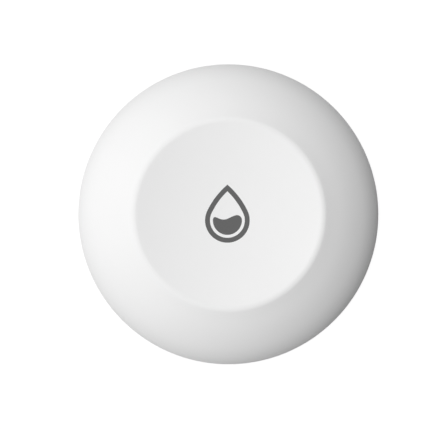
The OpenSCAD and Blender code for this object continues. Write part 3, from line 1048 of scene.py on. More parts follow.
@dataclass
class UpperShell(SubAssembly):
    """Domed upper shell with the rounded crest and the fixed lip of the dish, and its gasket."""

    dome: DomeLine
    lip_t: float = 1.3
    lip_root_r: float = 14.87
    edge_r: float = 0.12
    gasket_r: float = GASKET_BOX.radius
    gasket_w: float = 0.5
    gasket_h: float = GASKET_BOX.size[2]
    gasket_edge_r: float = 0.12
    shell: bpy.types.Object = field(init=False)
    gasket: bpy.types.Object = field(init=False)

    def profile(self) -> list[Point]:
        """Half section of the shell.

        Returns:
            A closed loop from the lower edge up over the crest and back along the inside.
        """
        dome = self.dome
        low, opening = dome.parting_z, dome.opening_r
        edge = arc((dome.body_r - self.edge_r, low + self.edge_r), self.edge_r, 180.0, 90.0, 6)
        outside = dome.outside(0.0, 89.0)
        crest = arc(dome.crest_c, dome.crest_r, dome.brow_slope, -dome.dish_slope, 18)
        brow = line(outside[-1], crest[0], 5)
        lip = dome.dish_layer(crest[-1][0], opening, 0.0, 6)
        underside = dome.dish_layer(opening, self.lip_root_r, self.lip_t, 2)
        inside = dome.outside(dome.wall, 90.0)[::-1]
        inner, outer = self.gasket_r - self.gasket_w, self.gasket_r
        groove = [(inner, low), (inner, low + self.gasket_h), (outer, low + self.gasket_h), (outer, low)]
        return edge + outside + brow[1:-1] + crest + lip[1:] + underside + inside + groove

    def build(self) -> None:
        """Turns the shell and the gasket that lies in its lower edge."""
        form = Form()
        form.turn(self.profile(), closed=True)
        self.shell = form.piece("dome_shell")
        smooth(self.shell, Shading.CURVED)

        inner, outer = self.gasket_r - self.gasket_w, self.gasket_r
        middle = ((inner + outer) / 2, self.dome.parting_z + self.gasket_h / 2)
        section = rounded_rectangle(outer - inner, self.gasket_h, self.gasket_edge_r, 0.0, 4)
        ring = Form()
        ring.turn([(middle[0] + x, middle[1] + z) for x, z in section], closed=True)
        self.gasket = ring.piece("gasket_ring")
        smooth(self.gasket, Shading.FLAT_FACED)

    def dress(self) -> None:
        """Gives the shell its white and the gasket its grey."""
        self.seat(self.shell, Body.HOUSING, SHELL_WHITE, "top_shell")
        self.seat(self.gasket, Body.HOUSING, GASKET_GREY, "case_gasket")


@dataclass
class DishButton(SubAssembly):
    """Pressable dish with the soft ring round it, and the plunger and ribs underneath."""

    dome: DomeLine
    button_r: float = BUTTON_BOX.radius
    flex_gap: float = 0.08
    flex_t: float = 0.7
    dish_t: float = 1.4
    edge_gap: float = 0.06
    plunger_r: float = 2.0
    plunger_z: float = BUTTON_BOX.bottom
    tip_r: float = 0.3
    rib_t: float = 0.8
    rib_reach: float = 8.0
    rib_depth: float = 0.6
    rib_corner_r: float = 0.2
    rib_edge: float = 0.12
    rib_angles: Angles = (90.0, 210.0, 330.0)
    skin: bpy.types.Object = field(init=False)
    plunger: bpy.types.Object = field(init=False)

    def rib_loops(self, angle: float) -> list[list[Place]]:
        """Loops of one rib, from its broken lower edge up into the dish.

        Args:
            angle: Direction of the rib.

        Returns:
            The loops, from the lowest up.
        """
        x, y = polar(self.rib_reach / 2, angle)
        foot = self.dome.dish_height(0.0, self.dish_t) - self.rib_depth
        root = self.dome.dish_height(0.0, self.dish_t / 2)
        soft = self.rib_edge
        loops = []
        for height, inset in ((foot, soft), (foot + soft / 3, soft / 3), (foot + soft, 0.0), (root, 0.0)):
            length, width = self.rib_reach - 2 * inset, self.rib_t - 2 * inset
            outline = rounded_rectangle(length, width, self.rib_corner_r, angle, 4)
            loops.append([(x + u, y + v, height) for u, v in outline])
        return loops

    def build(self) -> None:
        """Turns the dish as one skin over button and ring, then the plunger with its ribs."""
        dome = self.dome
        opening = dome.opening_r
        middle = dome.dish_layer(0.0, self.button_r, 0.0, 26)
        rim = dome.dish_layer(self.button_r, opening, 0.0, 14)
        under_ring = dome.dish_layer(opening - self.edge_gap, self.button_r, self.flex_t, 6)
        under_dish = dome.dish_layer(self.button_r, 0.0, self.dish_t, 12)
        form = Form()
        form.turn(middle + rim[1:] + under_ring + under_dish, closed=False)
        self.skin = form.piece("dish_skin")
        smooth(self.skin, Shading.CURVED)

        root = dome.dish_height(0.0, self.dish_t / 2)
        tip = arc((self.plunger_r - self.tip_r, self.plunger_z + self.tip_r), self.tip_r, 180.0, 90.0, 6)
        profile = [(0.0, self.plunger_z), *tip, (self.plunger_r, root), (0.0, root)]
        lower = Form()
        lower.turn(profile, closed=False, segments=64)
        for angle in self.rib_angles:
            lower.loft(self.rib_loops(angle))
        self.plunger = lower.piece("dish_plunger")
        smooth(self.plunger, Shading.FLAT_FACED)

    def dress(self) -> None:
        """Gives the skin its white in place of button and ring, and seats the plunger."""
        self.coat(self.skin, DISH_WHITE)
        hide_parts("button_dish", "flex_ring")
        start = (0.0, 0.0, self.dome.dish_height(self.dome.opening_r) * MM)
        end = (0.0, 0.0, self.dome.dish_height(self.button_r + self.flex_gap) * MM)
        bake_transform(self.skin)
        self.seat(self.plunger, Body.BUTTON, DISH_WHITE)


@dataclass
class DropSymbol(SubAssembly):
    """Printed water drop: an outline, and water with a wave inside it."""

    dome: DomeLine
    width: float = DROP_BOX.size[0]
    height: float = DROP_BOX.size[1]
    turn: float = 26.0
    stroke: float = 0.8
    water_gap: float = 0.48
    water_level: float = 0.5
    water_middle: Point = (0.0, -0.6)
    water_rings: tuple[float, ...] = (0.35, 0.7, 1.0)
    wave_rise: float = 0.36
    wave_length: float = 4.6
    wave_phase: float = 40.0
    corner: float = 0.58
    shift: Point = DROP_BOX.middle
    proud: float = 0.012
    sunk: float = 0.05
    side_steps: int = 16
    belly_steps: int = 64
    stroke_steps: int = 4
    wave_steps: int = 40
    bowl_steps: int = 56
    corner_steps: int = 8
    outline: bpy.types.Object = field(init=False)
    water: bpy.types.Object = field(init=False)

    def drop_points(self, inset: float) -> list[Point]:
        """Outline of the drop moved inwards, with its belly's middle at the origin.

        Args:
            inset: Distance inwards from the outer line.

        Returns:
            Points from the tip down the right side, round the belly and back up.
        """
        belly = self.width / 2
        rise = self.height - belly
        sine = math.sin(math.radians(self.turn))
        side = (rise * rise + belly * belly - 2 * rise * belly * sine) / (2 * (belly - rise * sine))
        cx, cy = polar(belly - side, self.turn)
        reach = side - inset
        start = math.degrees(math.acos(-cx / reach))
        right = []
        for i in range(self.side_steps + 1):
            x, y = polar(reach, start + (self.turn - start) * i / self.side_steps)
            right.append((cx + x, cy + y))
        sweep, steps = 180.0 + 2 * self.turn, self.belly_steps
        round_belly = [polar(belly - inset, self.turn - sweep * i / steps) for i in range(1, steps)]
        left = [(-x, y) for x, y in right[:0:-1]]
        return right + round_belly + left

    def wave(self, x: float) -> float:
        """Height of the water's surface at a place across the drop."""
        angle = math.radians(360.0 * x / self.wave_length - self.wave_phase)
        return self.water_level + self.wave_rise * math.sin(angle)

    def shore(self, bowl: float, side: int) -> Point:
        """Point where the wave meets the bowl.

        Args:
            bowl: Radius of the bowl.
            side: 1 for the right side and -1 for the left.

        Returns:
            The point.
        """
        x = side * bowl
        for _ in range(60):
            x = side * math.sqrt(max(0.0, bowl * bowl - self.wave(x) ** 2))
        return (x, self.wave(x))

    def soft_corner(self, start: Point, peak: Point, end: Point) -> list[Point]:
        """Soft corner between two lines that would meet in a point.

        Args:
            start: End of the first line.
            peak: Point where the lines would meet.
            end: Start of the second line.

        Returns:
            Points between the two ends, without them.
        """
        points = []
        for i in range(1, self.corner_steps):
            t = i / self.corner_steps
            x, y = ((1 - t) ** 2 * a + 2 * t * (1 - t) * b + t * t * c for a, b, c in zip(start, peak, end))
            points.append((x, y))
        return points

    def water_points(self) -> list[Point]:
        """Outline of the water: a wave on top of a round bowl, with soft corners.

        Returns:
            Points along the wave to the right and back round the bowl.
        """
        bowl = self.width / 2 - self.stroke - self.water_gap
        left, right = self.shore(bowl, -1), self.shore(bowl, 1)
        surface = line((left[0] + self.corner, 0.0), (right[0] - self.corner, 0.0), self.wave_steps)
        top = [(x, self.wave(x)) for x, _ in surface]
        reach = math.degrees(self.corner / bowl)
        first = math.degrees(math.atan2(right[1], right[0])) - reach
        last = math.degrees(math.atan2(left[1], left[0])) - 360.0 + reach
        steps = self.bowl_steps
        round_bowl = [polar(bowl, first + (last - first) * i / steps) for i in range(steps + 1)]
        right_corner = self.soft_corner(top[-1], right, round_bowl[0])
        left_corner = self.soft_corner(round_bowl[-1], left, top[0])
        return top + right_corner + round_bowl + left_corner

    def lay(self, points: Sequence[Point], rise: float) -> list[Place]:
        """Lays points of the symbol on the dish.

        Args:
            points: Points round the middle of the drop's belly.
            rise: Height above the dish's surface.

        Returns:
            The points in their places.
        """
        belly_y = self.width / 2 - self.height / 2
        placed = [(x + self.shift[0], y + belly_y + self.shift[1]) for x, y in points]
        return [(x, y, self.dome.dish_height(math.hypot(x, y)) + rise) for x, y in placed]

    def build(self) -> None:
        """Prints outline and water as thin layers that follow the dish."""
        steps = self.stroke_steps
        lines = [self.drop_points(self.stroke * i / steps) for i in range(steps + 1)]
        loops = [self.lay(points, self.proud) for points in lines]
        loops += [self.lay(points, -self.sunk) for points in lines[::-1]]
        ring = Form()
        ring.loft(loops, closed=True)
        self.outline = ring.piece("drop_print")
        smooth(self.outline, Shading.CURVED)

        mx, my = self.water_middle
        edge = self.water_points()
        grown = []
        for share in self.water_rings:
            grown.append([(mx + share * (x - mx), my + share * (y - my)) for x, y in edge])
        pool = Form()
        rings = [pool.ring(self.lay([self.water_middle], self.proud))]
        rings += [pool.ring(self.lay(points, self.proud)) for points in grown]
        rings += [pool.ring(self.lay(points, -self.sunk)) for points in grown[::-1]]
        rings.append(pool.ring(self.lay([self.water_middle], -self.sunk)))
        pool.skin(rings, closed=False)
        self.water = pool.piece("water_print")
        smooth(self.water, Shading.CURVED)

    def dress(self) -> None:
        """Prints both in grey on the dish."""
        self.seat(self.outline, Body.BUTTON, SYMBOL_GREY, "drop_outline")
        self.seat(self.water, Body.BUTTON, SYMBOL_GREY, "drop_water")


@dataclass
class LowerShell(SubAssembly):
    """Base with its rounded lower edge, shadow line, recess, probe seats, feet, bosses and bayonet ring."""

    dome: DomeLine
    bay: BatteryBay
    low: float = COVER_BOX.bottom
    floor_t: float = 1.6
    edge_r: float = 1.4
    rim_r: float = 0.08
    seam_w: float = 0.45
    fit_gap: float = 0.1
    upstand_t: float = 1.2
    upstand_h: float = 2.0
    bead_rise: float = 1.1
    bead_r: float = 0.3
    bead_sunk: float = 0.1
    lead_in_w: float = 0.3
    lead_in_h: float = 0.15
    lead_in_draft: float = 0.12
    collar_wall: float = 1.0
    collar_top: float = COVER_BOX.top
    recess_mouth_r: float = 0.18
    seat_gap: float = 0.15
    seat_z: float = PROBE_SEAL_BOX.bottom
    seat_mouth_r: float = 0.15
    seal_r: float = PROBE_SEAL_BOX.high[1]
    seal_z: float = PROBE_SEAL_BOX.top
    hole_gap: float = 0.05
    column_r: float = POST_BOX.high[1]
    column_top: float = POST_BOX.bottom
    column_root: float = 0.05
    ring_place: float = PROBE_PLACE
    foot_r: float = 2.4
    foot_edge_r: float = 0.35
    foot_root: float = 0.6
    boss_r: float = 2.2
    boss_top: float = BASE_BOX.top
    boss_edge: float = 0.15
    boss_root: float = 0.4
    screw_r: float = 0.82
    mark_r: float = 0.55
    mark_depth: float = 0.25
    mark_mouth_r: float = 0.07
    mark_floor_r: float = 0.1
    mark_angles: Angles = (LOCK_ANGLE, LOCK_ANGLE - OPEN_TURN)
    ring_t: float = 0.8
    ledge_edge: float = 0.08
    stop_width: float = 5.0
    base: bpy.types.Object = field(init=False)

    @property
    def floor_top(self) -> float:
        """Height of the floor's upper face."""
        return self.low + self.floor_t

    @property
    def collar_r(self) -> float:
        """Outer radius of the collar round recess and bore."""
        return self.bay.recess_r + self.collar_wall

    @property
    def ring_top(self) -> float:
        """Height of the bayonet ring, on which the lugs turn."""
        return self.bay.lug_z[0] - self.bay.lug_play

    @property
    def recess_z(self) -> float:
        """Height of the recess's upper face, against which the cover's O-ring seals."""
        return self.ring_top - self.ring_t

    @property
    def hole_r(self) -> float:
        """Radius of the hole round a probe's shank."""
        return SHANK_R + self.hole_gap

    def profile(self) -> list[Point]:
        """Half section of floor, rim, snap wall, collar and recess.

        Returns:
            A closed loop from the recess's mouth outwards and back along the inside.
        """
        low, body_r, parting_z = self.low, self.dome.body_r, self.dome.parting_z
        recess_r, bore_r, seam_r = self.bay.recess_r, self.bay.bore_r, body_r - self.seam_w
        mouth_c = (recess_r + self.recess_mouth_r, low + self.recess_mouth_r)
        recess = arc(mouth_c, self.recess_mouth_r, 270.0, 180.0, 6)
        floor = line(recess[-1], (body_r - self.edge_r, low), 8)
        edge = arc((body_r - self.edge_r, low + self.edge_r), self.edge_r, 180.0, 90.0, 14)
        rim = arc((body_r - self.rim_r, self.floor_top - self.rim_r), self.rim_r, 90.0, 0.0, 4)
        outer, top = self.dome.inner_r - self.fit_gap, parting_z + self.upstand_h
        inner = outer - self.upstand_t
        bead = arc((outer - self.bead_sunk, parting_z + self.bead_rise), self.bead_r, 140.0, 40.0, 8)
        wall = [(seam_r, self.floor_top), (seam_r, parting_z), (outer, parting_z), *bead]
        wall += [(outer - self.lead_in_draft, top - self.lead_in_h), (outer - self.lead_in_w, top)]
        wall.append((inner, top))
        collar = [(inner, self.floor_top), (self.collar_r, self.floor_top), (self.collar_r, self.collar_top)]
        bore = [(bore_r, self.collar_top), (bore_r, self.recess_z), (recess_r, self.recess_z)]
        return recess + floor[1:-1] + edge + rim + wall + collar + bore

    def seat_cutter(self, side: int) -> Form:
        """Cutter for the stepped hole of one probe, with a rounded mouth.

        Args:
            side: 1 for the probe on +X and -1 for the other.

        Returns:
            The cutter.
        """
        low, soft, top = self.low, self.seat_mouth_r, self.column_top + CLEARANCE
        seat_r = HEAD_R + self.seat_gap
        mouth = arc((seat_r + soft, low + soft), soft, 180.0, 270.0, 5)
        steps = [(seat_r, self.seat_z), (self.seal_r, self.seat_z), (self.seal_r, self.seal_z)]
        hole = [(self.hole_r, self.seal_z), (self.hole_r, top), (0.0, top)]
        profile = [(0.0, low - CLEARANCE), (seat_r + soft, low - CLEARANCE), *mouth, *steps, *hole]
        form = Form()
        form.turn(profile, closed=False, centre=(side * self.ring_place, 0.0), segments=96)
        return form

    def mark_cutter(self, angle: float) -> Form:
        """Cutter for the round dimple of one lock mark.

        Args:
            angle: Direction of the mark.

        Returns:
            The cutter.
        """
        low, soft, deep = self.low, self.mark_mouth_r, self.low + self.mark_depth
        mouth = arc((self.mark_r + soft, low + soft), soft, 180.0, 270.0, 4)
        corner = self.mark_floor_r
        floor = arc((self.mark_r - corner, deep - corner), corner, 90.0, 0.0, 4)
        profile = [(0.0, low - CLEARANCE), (self.mark_r + soft, low - CLEARANCE), *mouth, *floor, (0.0, deep)]
        place = polar(self.bay.recess_r + 2 * self.mark_r, angle)
        form = Form()
        form.turn(profile, closed=False, centre=place, segments=48)
        return form

    def add_posts(self, form: Form, side: int) -> None:
        """Adds a foot, a screw boss and a probe column of one side.

        Args:
            form: The form that they are added to.
            side: 1 for the side of the positive axes and -1 for the other.
        """
        root, soft = self.low + self.foot_root, self.foot_edge_r
        sole = arc((self.foot_r - soft, soft), soft, 180.0, 90.0, 8)
        foot = [(0.0, 0.0), *sole, (self.foot_r, root), (0.0, root)]
        form.turn(foot, closed=False, centre=(0.0, side * self.ring_place), segments=96)
        low, top, soft = self.low + self.boss_root, self.boss_top, self.boss_edge
        rim = [(self.boss_r, low), (self.boss_r, top - soft), (self.boss_r - soft, top)]
        boss = [*rim, (self.screw_r, top), (self.screw_r, low)]
        form.turn(boss, closed=True, centre=(0.0, side * (self.collar_r + self.boss_r / 2)), segments=64)
        low, top = self.seal_z + self.column_root, self.column_top
        column = [(self.column_r, low), (self.column_r, top), (self.hole_r, top), (self.hole_r, low)]
        form.turn(column, closed=True, centre=(side * self.ring_place, 0.0), segments=64)

    def add_step(self, form: Form, angle: float, width: float, across: Span, heights: Span) -> None:
        """Adds a ledge or a stop of the bayonet ring, with a broken inner edge.

        Args:
            form: The form that it is added to.
            angle: Direction of its middle.
            width: Degrees that it covers.
            across: Its inner and outer radius.
            heights: Its lower and upper height.
        """
        (inner, outer), (low, top), soft = across, heights, self.ledge_edge
        section = [(inner, low), (outer, low), (outer, top), (inner + soft, top), (inner, top - soft)]
        form.sector(angle, width, section)

    def islands(self) -> Form:
        """Feet, bosses, probe columns, and the ledges and stops of the bayonet ring.

        Returns:
            All of them as one form.
        """
        form = Form()
        for side in (-1, 1):
            self.add_posts(form, side)
        bay = self.bay
        spigot, root = bay.spigot_r[1], bay.bore_r + self.collar_wall / 2
        ledge_r, ledge_z = (spigot + bay.cover_gap, root), (self.recess_z + bay.lug_play, self.ring_top)
        ledge_turn = 180.0 / bay.lug_count - OPEN_TURN
        ledge_width = 360.0 / bay.lug_count - bay.lug_width - 2 * bay.lug_play_turn
        stop_r, stop_z = (spigot + bay.lug_reach / 2, root), (self.ring_top - self.ring_t / 2, bay.lug_z[1])
        stop_turn = (bay.lug_width + bay.lug_play_turn + self.stop_width) / 2
        for angle in bay.lug_angles:
            self.add_step(form, angle + ledge_turn, ledge_width, ledge_r, ledge_z)
            for turn in (stop_turn, -OPEN_TURN - stop_turn):
                self.add_step(form, angle + turn, self.stop_width, stop_r, stop_z)
        return form

    def build(self) -> None:
        """Turns the base, cuts its seats and marks, and sets up what stands on it."""
        form = Form()
        form.turn(self.profile(), closed=True)
        self.base = form.piece("base_moulding")
        cutters = [self.seat_cutter(side) for side in (-1, 1)]
        cutters += [self.mark_cutter(angle) for angle in self.mark_angles]
        carve(self.base, cutters)
        add_islands(self.base, self.islands())
        smooth(self.base, Shading.FLAT_FACED)

    def dress(self) -> None:
        """Gives the base its grained white."""
        self.seat(self.base, Body.HOUSING, BASE_WHITE, "base_shell")


@dataclass
class BatteryCover(SubAssembly):
    """Twist-off cover with coin slot, pointer, spigot and lugs, its O-ring and the foam pad on it."""

    bay: BatteryBay
    radius: float = COVER_BOX.radius
    low: float = COVER_BOX.bottom
    top: float = PAD_BOX.bottom
    edge_r: float = 0.3
    rim_r: float = 0.1
    groove_play: float = 0.05
    groove_z: float = COVER_SEAL_BOX.bottom
    seal_d: float = COVER_SEAL_BOX.size[2]
    seal_r: float = COVER_SEAL_BOX.radius - COVER_SEAL_BOX.size[2] / 2
    spigot_top: float = COVER_BOX.top
    spigot_edge: float = 0.1
    lug_edge: float = 0.1
    mouth_r: float = 0.2
    mouth_share: float = 0.6
    mouth_steps: int = 6
    mark_angle: float = LOCK_ANGLE
    slot_size: Size = (17.0, 2.0, 0.9)
    slot_corner_r: float = 0.6
    pointer_place: float = 12.75
    pointer_size: Size = (1.1, 1.65, 0.25)
    pointer_grow: Span = (0.9, 1.05)
    pointer_corner: float = 0.12
    pad_r: float = PAD_BOX.radius
    pad_top: float = PAD_BOX.top
    cover: bpy.types.Object = field(init=False)
    seal: bpy.types.Object = field(init=False)
    pad: bpy.types.Object = field(init=False)

    def profile(self) -> list[Point]:
        """Half section of plate, groove and spigot.

        Returns:
            The points from the axis outwards underneath and back on top.
        """
        edge = arc((self.radius - self.edge_r, self.low + self.edge_r), self.edge_r, 180.0, 90.0, 7)
        rim = arc((self.radius - self.rim_r, self.top - self.rim_r), self.rim_r, 90.0, 0.0, 3)
        reach = self.seal_d / 2 + self.groove_play
        inner, outer = self.seal_r - reach, self.seal_r + reach
        groove = [(outer, self.top), (outer, self.groove_z), (inner, self.groove_z), (inner, self.top)]
        (bore, spigot), high, soft = self.bay.spigot_r, self.spigot_top, self.spigot_edge
        wall = [(spigot, self.top), (spigot, high - soft), (spigot - soft, high)]
        wall += [(bore + soft, high), (bore, high - soft), (bore, self.top)]
        return [(0.0, self.low), *edge, *rim, *groove, *wall, (0.0, self.top)]

    def pressed(self, hollow: Sequence[Point], mouth: Sequence[Point], place: Point, depth: float) -> Form:
        """Cutter for a hollow in the cover's underside, with a rounded mouth.

        Args:
            hollow: Outline of the hollow.
            mouth: Outline of its mouth, point for point.
            place: Place of the outlines' origin.
            depth: Depth of the hollow.

        Returns:
            The cutter.
        """
        soft = min(self.mouth_r, self.mouth_share * depth)
        levels = [(self.low - CLEARANCE, 1.0)]
        for i in range(self.mouth_steps + 1):
            across, up = slope_dir(90.0 * i / self.mouth_steps)
            levels.append((self.low + soft * (1.0 - up), 1.0 - across))
        levels.append((self.low + depth, 0.0))
        loops = []
        for height, share in levels:
            loop = [(u + share * (p - u), v + share * (q - v)) for (u, v), (p, q) in zip(hollow, mouth)]
            loops.append([(place[0] + x, place[1] + y, height) for x, y in loop])
        form = Form()
        form.loft(loops)
        return form

    def pointer(self, size: float) -> list[Point]:
        """Triangle with blunt corners that points outwards.

        Args:
            size: Share of its full size.

        Returns:
            Its outline round the origin.
        """
        reach, base, _ = self.pointer_size
        corners = [(reach / 2, 0.0), (-reach / 2, base / 2), (-reach / 2, -base / 2)]
        blunt = self.pointer_corner
        points = []
        for i, (x, y) in enumerate(corners):
            for u, v in (corners[i - 1], corners[(i + 1) % 3]):
                points.append((size * (x + blunt * (u - x)), size * (y + blunt * (v - y))))
        return turned(points, self.mark_angle)

    def cutters(self) -> list[Form]:
        """Cutters for coin slot and pointer.

        Returns:
            Both cutters.
        """
        length, width, depth = self.slot_size
        soft, corner = self.mouth_r, self.slot_corner_r
        slot = rounded_rectangle(length, width, corner, self.mark_angle)
        mouth = rounded_rectangle(length + 2 * soft, width + 2 * soft, corner + soft, self.mark_angle)
        mark, mark_mouth = (self.pointer(size) for size in self.pointer_grow)
        place = polar(self.pointer_place, self.mark_angle)
        return [
            self.pressed(slot, mouth, (0.0, 0.0), depth),
            self.pressed(mark, mark_mouth, place, self.pointer_size[2]),
        ]

    def build(self) -> None:
        """Turns the cover, cuts slot and pointer, and adds lugs, O-ring and pad."""
        form = Form()
        form.turn(self.profile(), closed=False)
        self.cover = form.piece("cover_moulding")
        carve(self.cover, self.cutters())
        lugs = Form()
        (inner, outer), (low, top), soft = self.bay.lug_r, self.bay.lug_z, self.lug_edge
        edge = [(outer - soft, low), (outer, low + soft), (outer, top - soft), (outer - soft, top)]
        for angle in self.bay.lug_angles:
            lugs.sector(angle, self.bay.lug_width, [(inner, low), *edge, (inner, top)])
        add_islands(self.cover, lugs)
        smooth(self.cover, Shading.FLAT_FACED)

        ring = Form()
        section = arc((self.seal_r, self.groove_z + self.seal_d / 2), self.seal_d / 2, 0.0, 360.0, 24)
        ring.turn(section[:-1], closed=True)
        self.seal = ring.piece("cover_ring")
        smooth(self.seal, Shading.CURVED)

        foam = Form()
        swell = (self.pad_top - self.top) / 2
        side = arc((self.pad_r - swell, self.top + swell), swell, 180.0, 0.0, 12)
        foam.turn([(0.0, self.top), *side, (0.0, self.pad_top)], closed=False, segments=96)
        self.pad = foam.piece("foam_pad")
        smooth(self.pad, Shading.FLAT_FACED)

    def dress(self) -> None:
        """Gives cover, O-ring and foam their finishes."""
        self.seat(self.cover, Body.COVER, BASE_WHITE, "battery_cover")
        self.seat(self.seal, Body.COVER, SEAL_BLACK, "cover_seal")
        self.seat(self.pad, Body.COVER, FOAM_GREY, "cell_pad")


@dataclass
class Probes(SubAssembly):
    """Two slotted steel screws that feel the water, with their O-rings."""

    place: float = PROBE_PLACE
    head_r: float = HEAD_R
    head_h: float = PROBE_SEAL_BOX.bottom
    edge_r: float = 0.28
    head_edge: float = 0.06
    slot_w: float = 0.8
    slot_depth: float = 0.35
    slot_edge: float = 0.05
    shank_r: float = SHANK_R
    shank_top: float = PROBE_BOX.top
    tip_edge: float = 0.2
    thread_z: float = 3.2
    thread_depth: float = 0.14
    pitch: float = 0.4
    seal_d: float = PROBE_SEAL_BOX.size[2]
    seal_r: float = PROBE_SEAL_BOX.high[1] - PROBE_SEAL_BOX.size[2] / 2
    screws: bpy.types.Object = field(init=False)
    seals: bpy.types.Object = field(init=False)

    def profile(self) -> list[Point]:
        """Half section of head, shank and thread.

        Returns:
            The points from the middle of the head outwards and up to the tip.
        """
        edge = arc((self.head_r - self.edge_r, self.edge_r), self.edge_r, 180.0, 90.0, 7)
        high, soft, tip = self.head_h, self.head_edge, self.shank_top
        shank = [(self.head_r, high - soft), (self.head_r - soft, high), (self.shank_r, high)]
        turns = int((tip - self.tip_edge - self.thread_z) / self.pitch)
        for i in range(turns):
            low = self.thread_z + self.pitch * i
            shank += [(self.shank_r, low), (self.shank_r - self.thread_depth, low + self.pitch / 2)]
        point = [(self.shank_r, tip - self.tip_edge), (self.shank_r - self.tip_edge, tip), (0.0, tip)]
        return [(0.0, 0.0), *edge, *shank, *point]

    def slot_cutter(self, side: int) -> Form:
        """Cutter for the driver slot across one head, with broken edges.

        Args:
            side: 1 for the probe on +X and -1 for the other.

        Returns:
            The cutter.
        """
        soft = self.slot_edge
        loops = []
        for height, grow in ((-CLEARANCE, soft), (0.0, soft), (soft, 0.0), (self.slot_depth, 0.0)):
            outline = rounded_rectangle(3 * self.head_r, self.slot_w + 2 * grow, soft, 0.0, 2)
            loops.append([(side * self.place + x, y, height) for x, y in outline])
        form = Form()
        form.loft(loops)
        return form

    def build(self) -> None:
        """Turns both screws, cuts their slots and lays the O-rings under the heads."""
        form, rings = Form(), Form()
        section = arc((self.seal_r, self.head_h + self.seal_d / 2), self.seal_d / 2, 0.0, 360.0, 16)
        for side in (-1, 1):
            axis = (side * self.place, 0.0)
            form.turn(self.profile(), closed=False, centre=axis, segments=96)
            rings.turn(section[:-1], closed=True, centre=axis, segments=64)
        self.screws = form.piece("probe_turnings")
        carve(self.screws, [self.slot_cutter(side) for side in (-1, 1)])
        smooth(self.screws, Shading.FLAT_FACED)
        self.seals = rings.piece("probe_rings")
        smooth(self.seals, Shading.CURVED)

    def dress(self) -> None:
        """Gives the screws their turned steel and the rings their rubber."""
        self.seat(self.screws, Body.HOUSING, PROBE_STEEL, "probe_screws")
        self.seat(self.seals, Body.HOUSING, SEAL_BLACK, "probe_seals")


@dataclass
class Electronics(SubAssembly):
    """Coin cell with its rolled edges, and the solids inside the housing that keep their shape."""

    cell_r: float = CELL_BOX.radius
    cell_z: float = CELL_BOX.bottom
    cell_top: float = CELL_BOX.top
    can_edge_r: float = 0.4
    can_rim_r: float = 0.5
    lid_h: float = 0.3
    lid_r: float = 8.8
    lid_edge_r: float = 0.2
    crimp_w: Span = (0.12, 0.25)
    crimp_depth: float = 0.15
    finishes: dict[str, Finish] = field(
        default_factory=lambda: {
            "cell_holder": HOLDER_BLACK,
            "positive_contact": CONTACT_BRONZE,
            "negative_contact": CONTACT_BRONZE,
            "circuit_board": BOARD_GREEN,
            "board_screws": SCREW_STEEL,
            "switch_body": SWITCH_BLACK,
            "switch_legs": TIN,
            "switch_stem": SWITCH_BLACK,
            "radio_board": BOARD_GREEN,
            "radio_shield": TIN,
            "chip_antenna": ANTENNA_IVORY,
            "controller_chip": CHIP_BLACK,
            "crystal": TIN,
            "capacitors": CAPACITOR_TAN,
            "status_led": LED_CLEAR,
            "probe_posts": POST_BRASS,
        }
    )
    cell: bpy.types.Object = field(init=False)

    def build(self) -> None:
        """Turns the coin cell: a can with a rolled rim round a domed lid."""
        edge, roll, lid = self.can_edge_r, self.can_rim_r, self.lid_edge_r
        can_top = self.cell_top - self.lid_h
        can = arc((self.cell_r - edge, self.cell_z + edge), edge, 180.0, 90.0, 8)
        rim = arc((self.cell_r - roll, can_top - roll), roll, 90.0, 0.0, 8)
        (floor_w, mouth_w), floor_z = self.crimp_w, can_top - self.crimp_depth
        crimp = [(self.lid_r + mouth_w, can_top), (self.lid_r + floor_w, floor_z), (self.lid_r, floor_z)]
        top = arc((self.lid_r - lid, self.cell_top - lid), lid, 90.0, 0.0, 6)
        profile = [(0.0, self.cell_z), *can, *rim, *crimp, *top, (0.0, self.cell_top)]
        form = Form()
        form.turn(profile, closed=False, segments=128)
        self.cell = form.piece("cell_can")
        smooth(self.cell, Shading.FLAT_FACED)

    def dress(self) -> None:
        """Gives the cell and each solid that stays its finish."""
        self.seat(self.cell, Body.HOUSING, CELL_STEEL, "coin_cell")
        for node, finish in self.finishes.items():
            solid = frame["nodes"][node]
            for held in solid.material_slots:
                held.material = finish.material()
            LOG.info("%s: solid kept, %s", node, finish.slot)


@dataclass
class Lamp:
    """One soft square panel of light that hangs straight over the sensor, in metres."""

    name: str
    height: float
    width: float
    radiance: float

    def hang(self) -> None:
        """Hangs the panel, unseen by the camera and by gloss."""
        data = bpy.data.lights.new(self.name, "AREA")
        data.shape = "SQUARE"
        data.size = self.width
        data.energy = self.radiance * math.pi * self.width * self.width
        panel = bpy.data.objects.new(self.name, data)
        panel.location = (0.0, 0.0, self.height)
        panel.visible_camera = False
        panel.visible_glossy = False
        bpy.context.scene.collection.objects.link(panel)


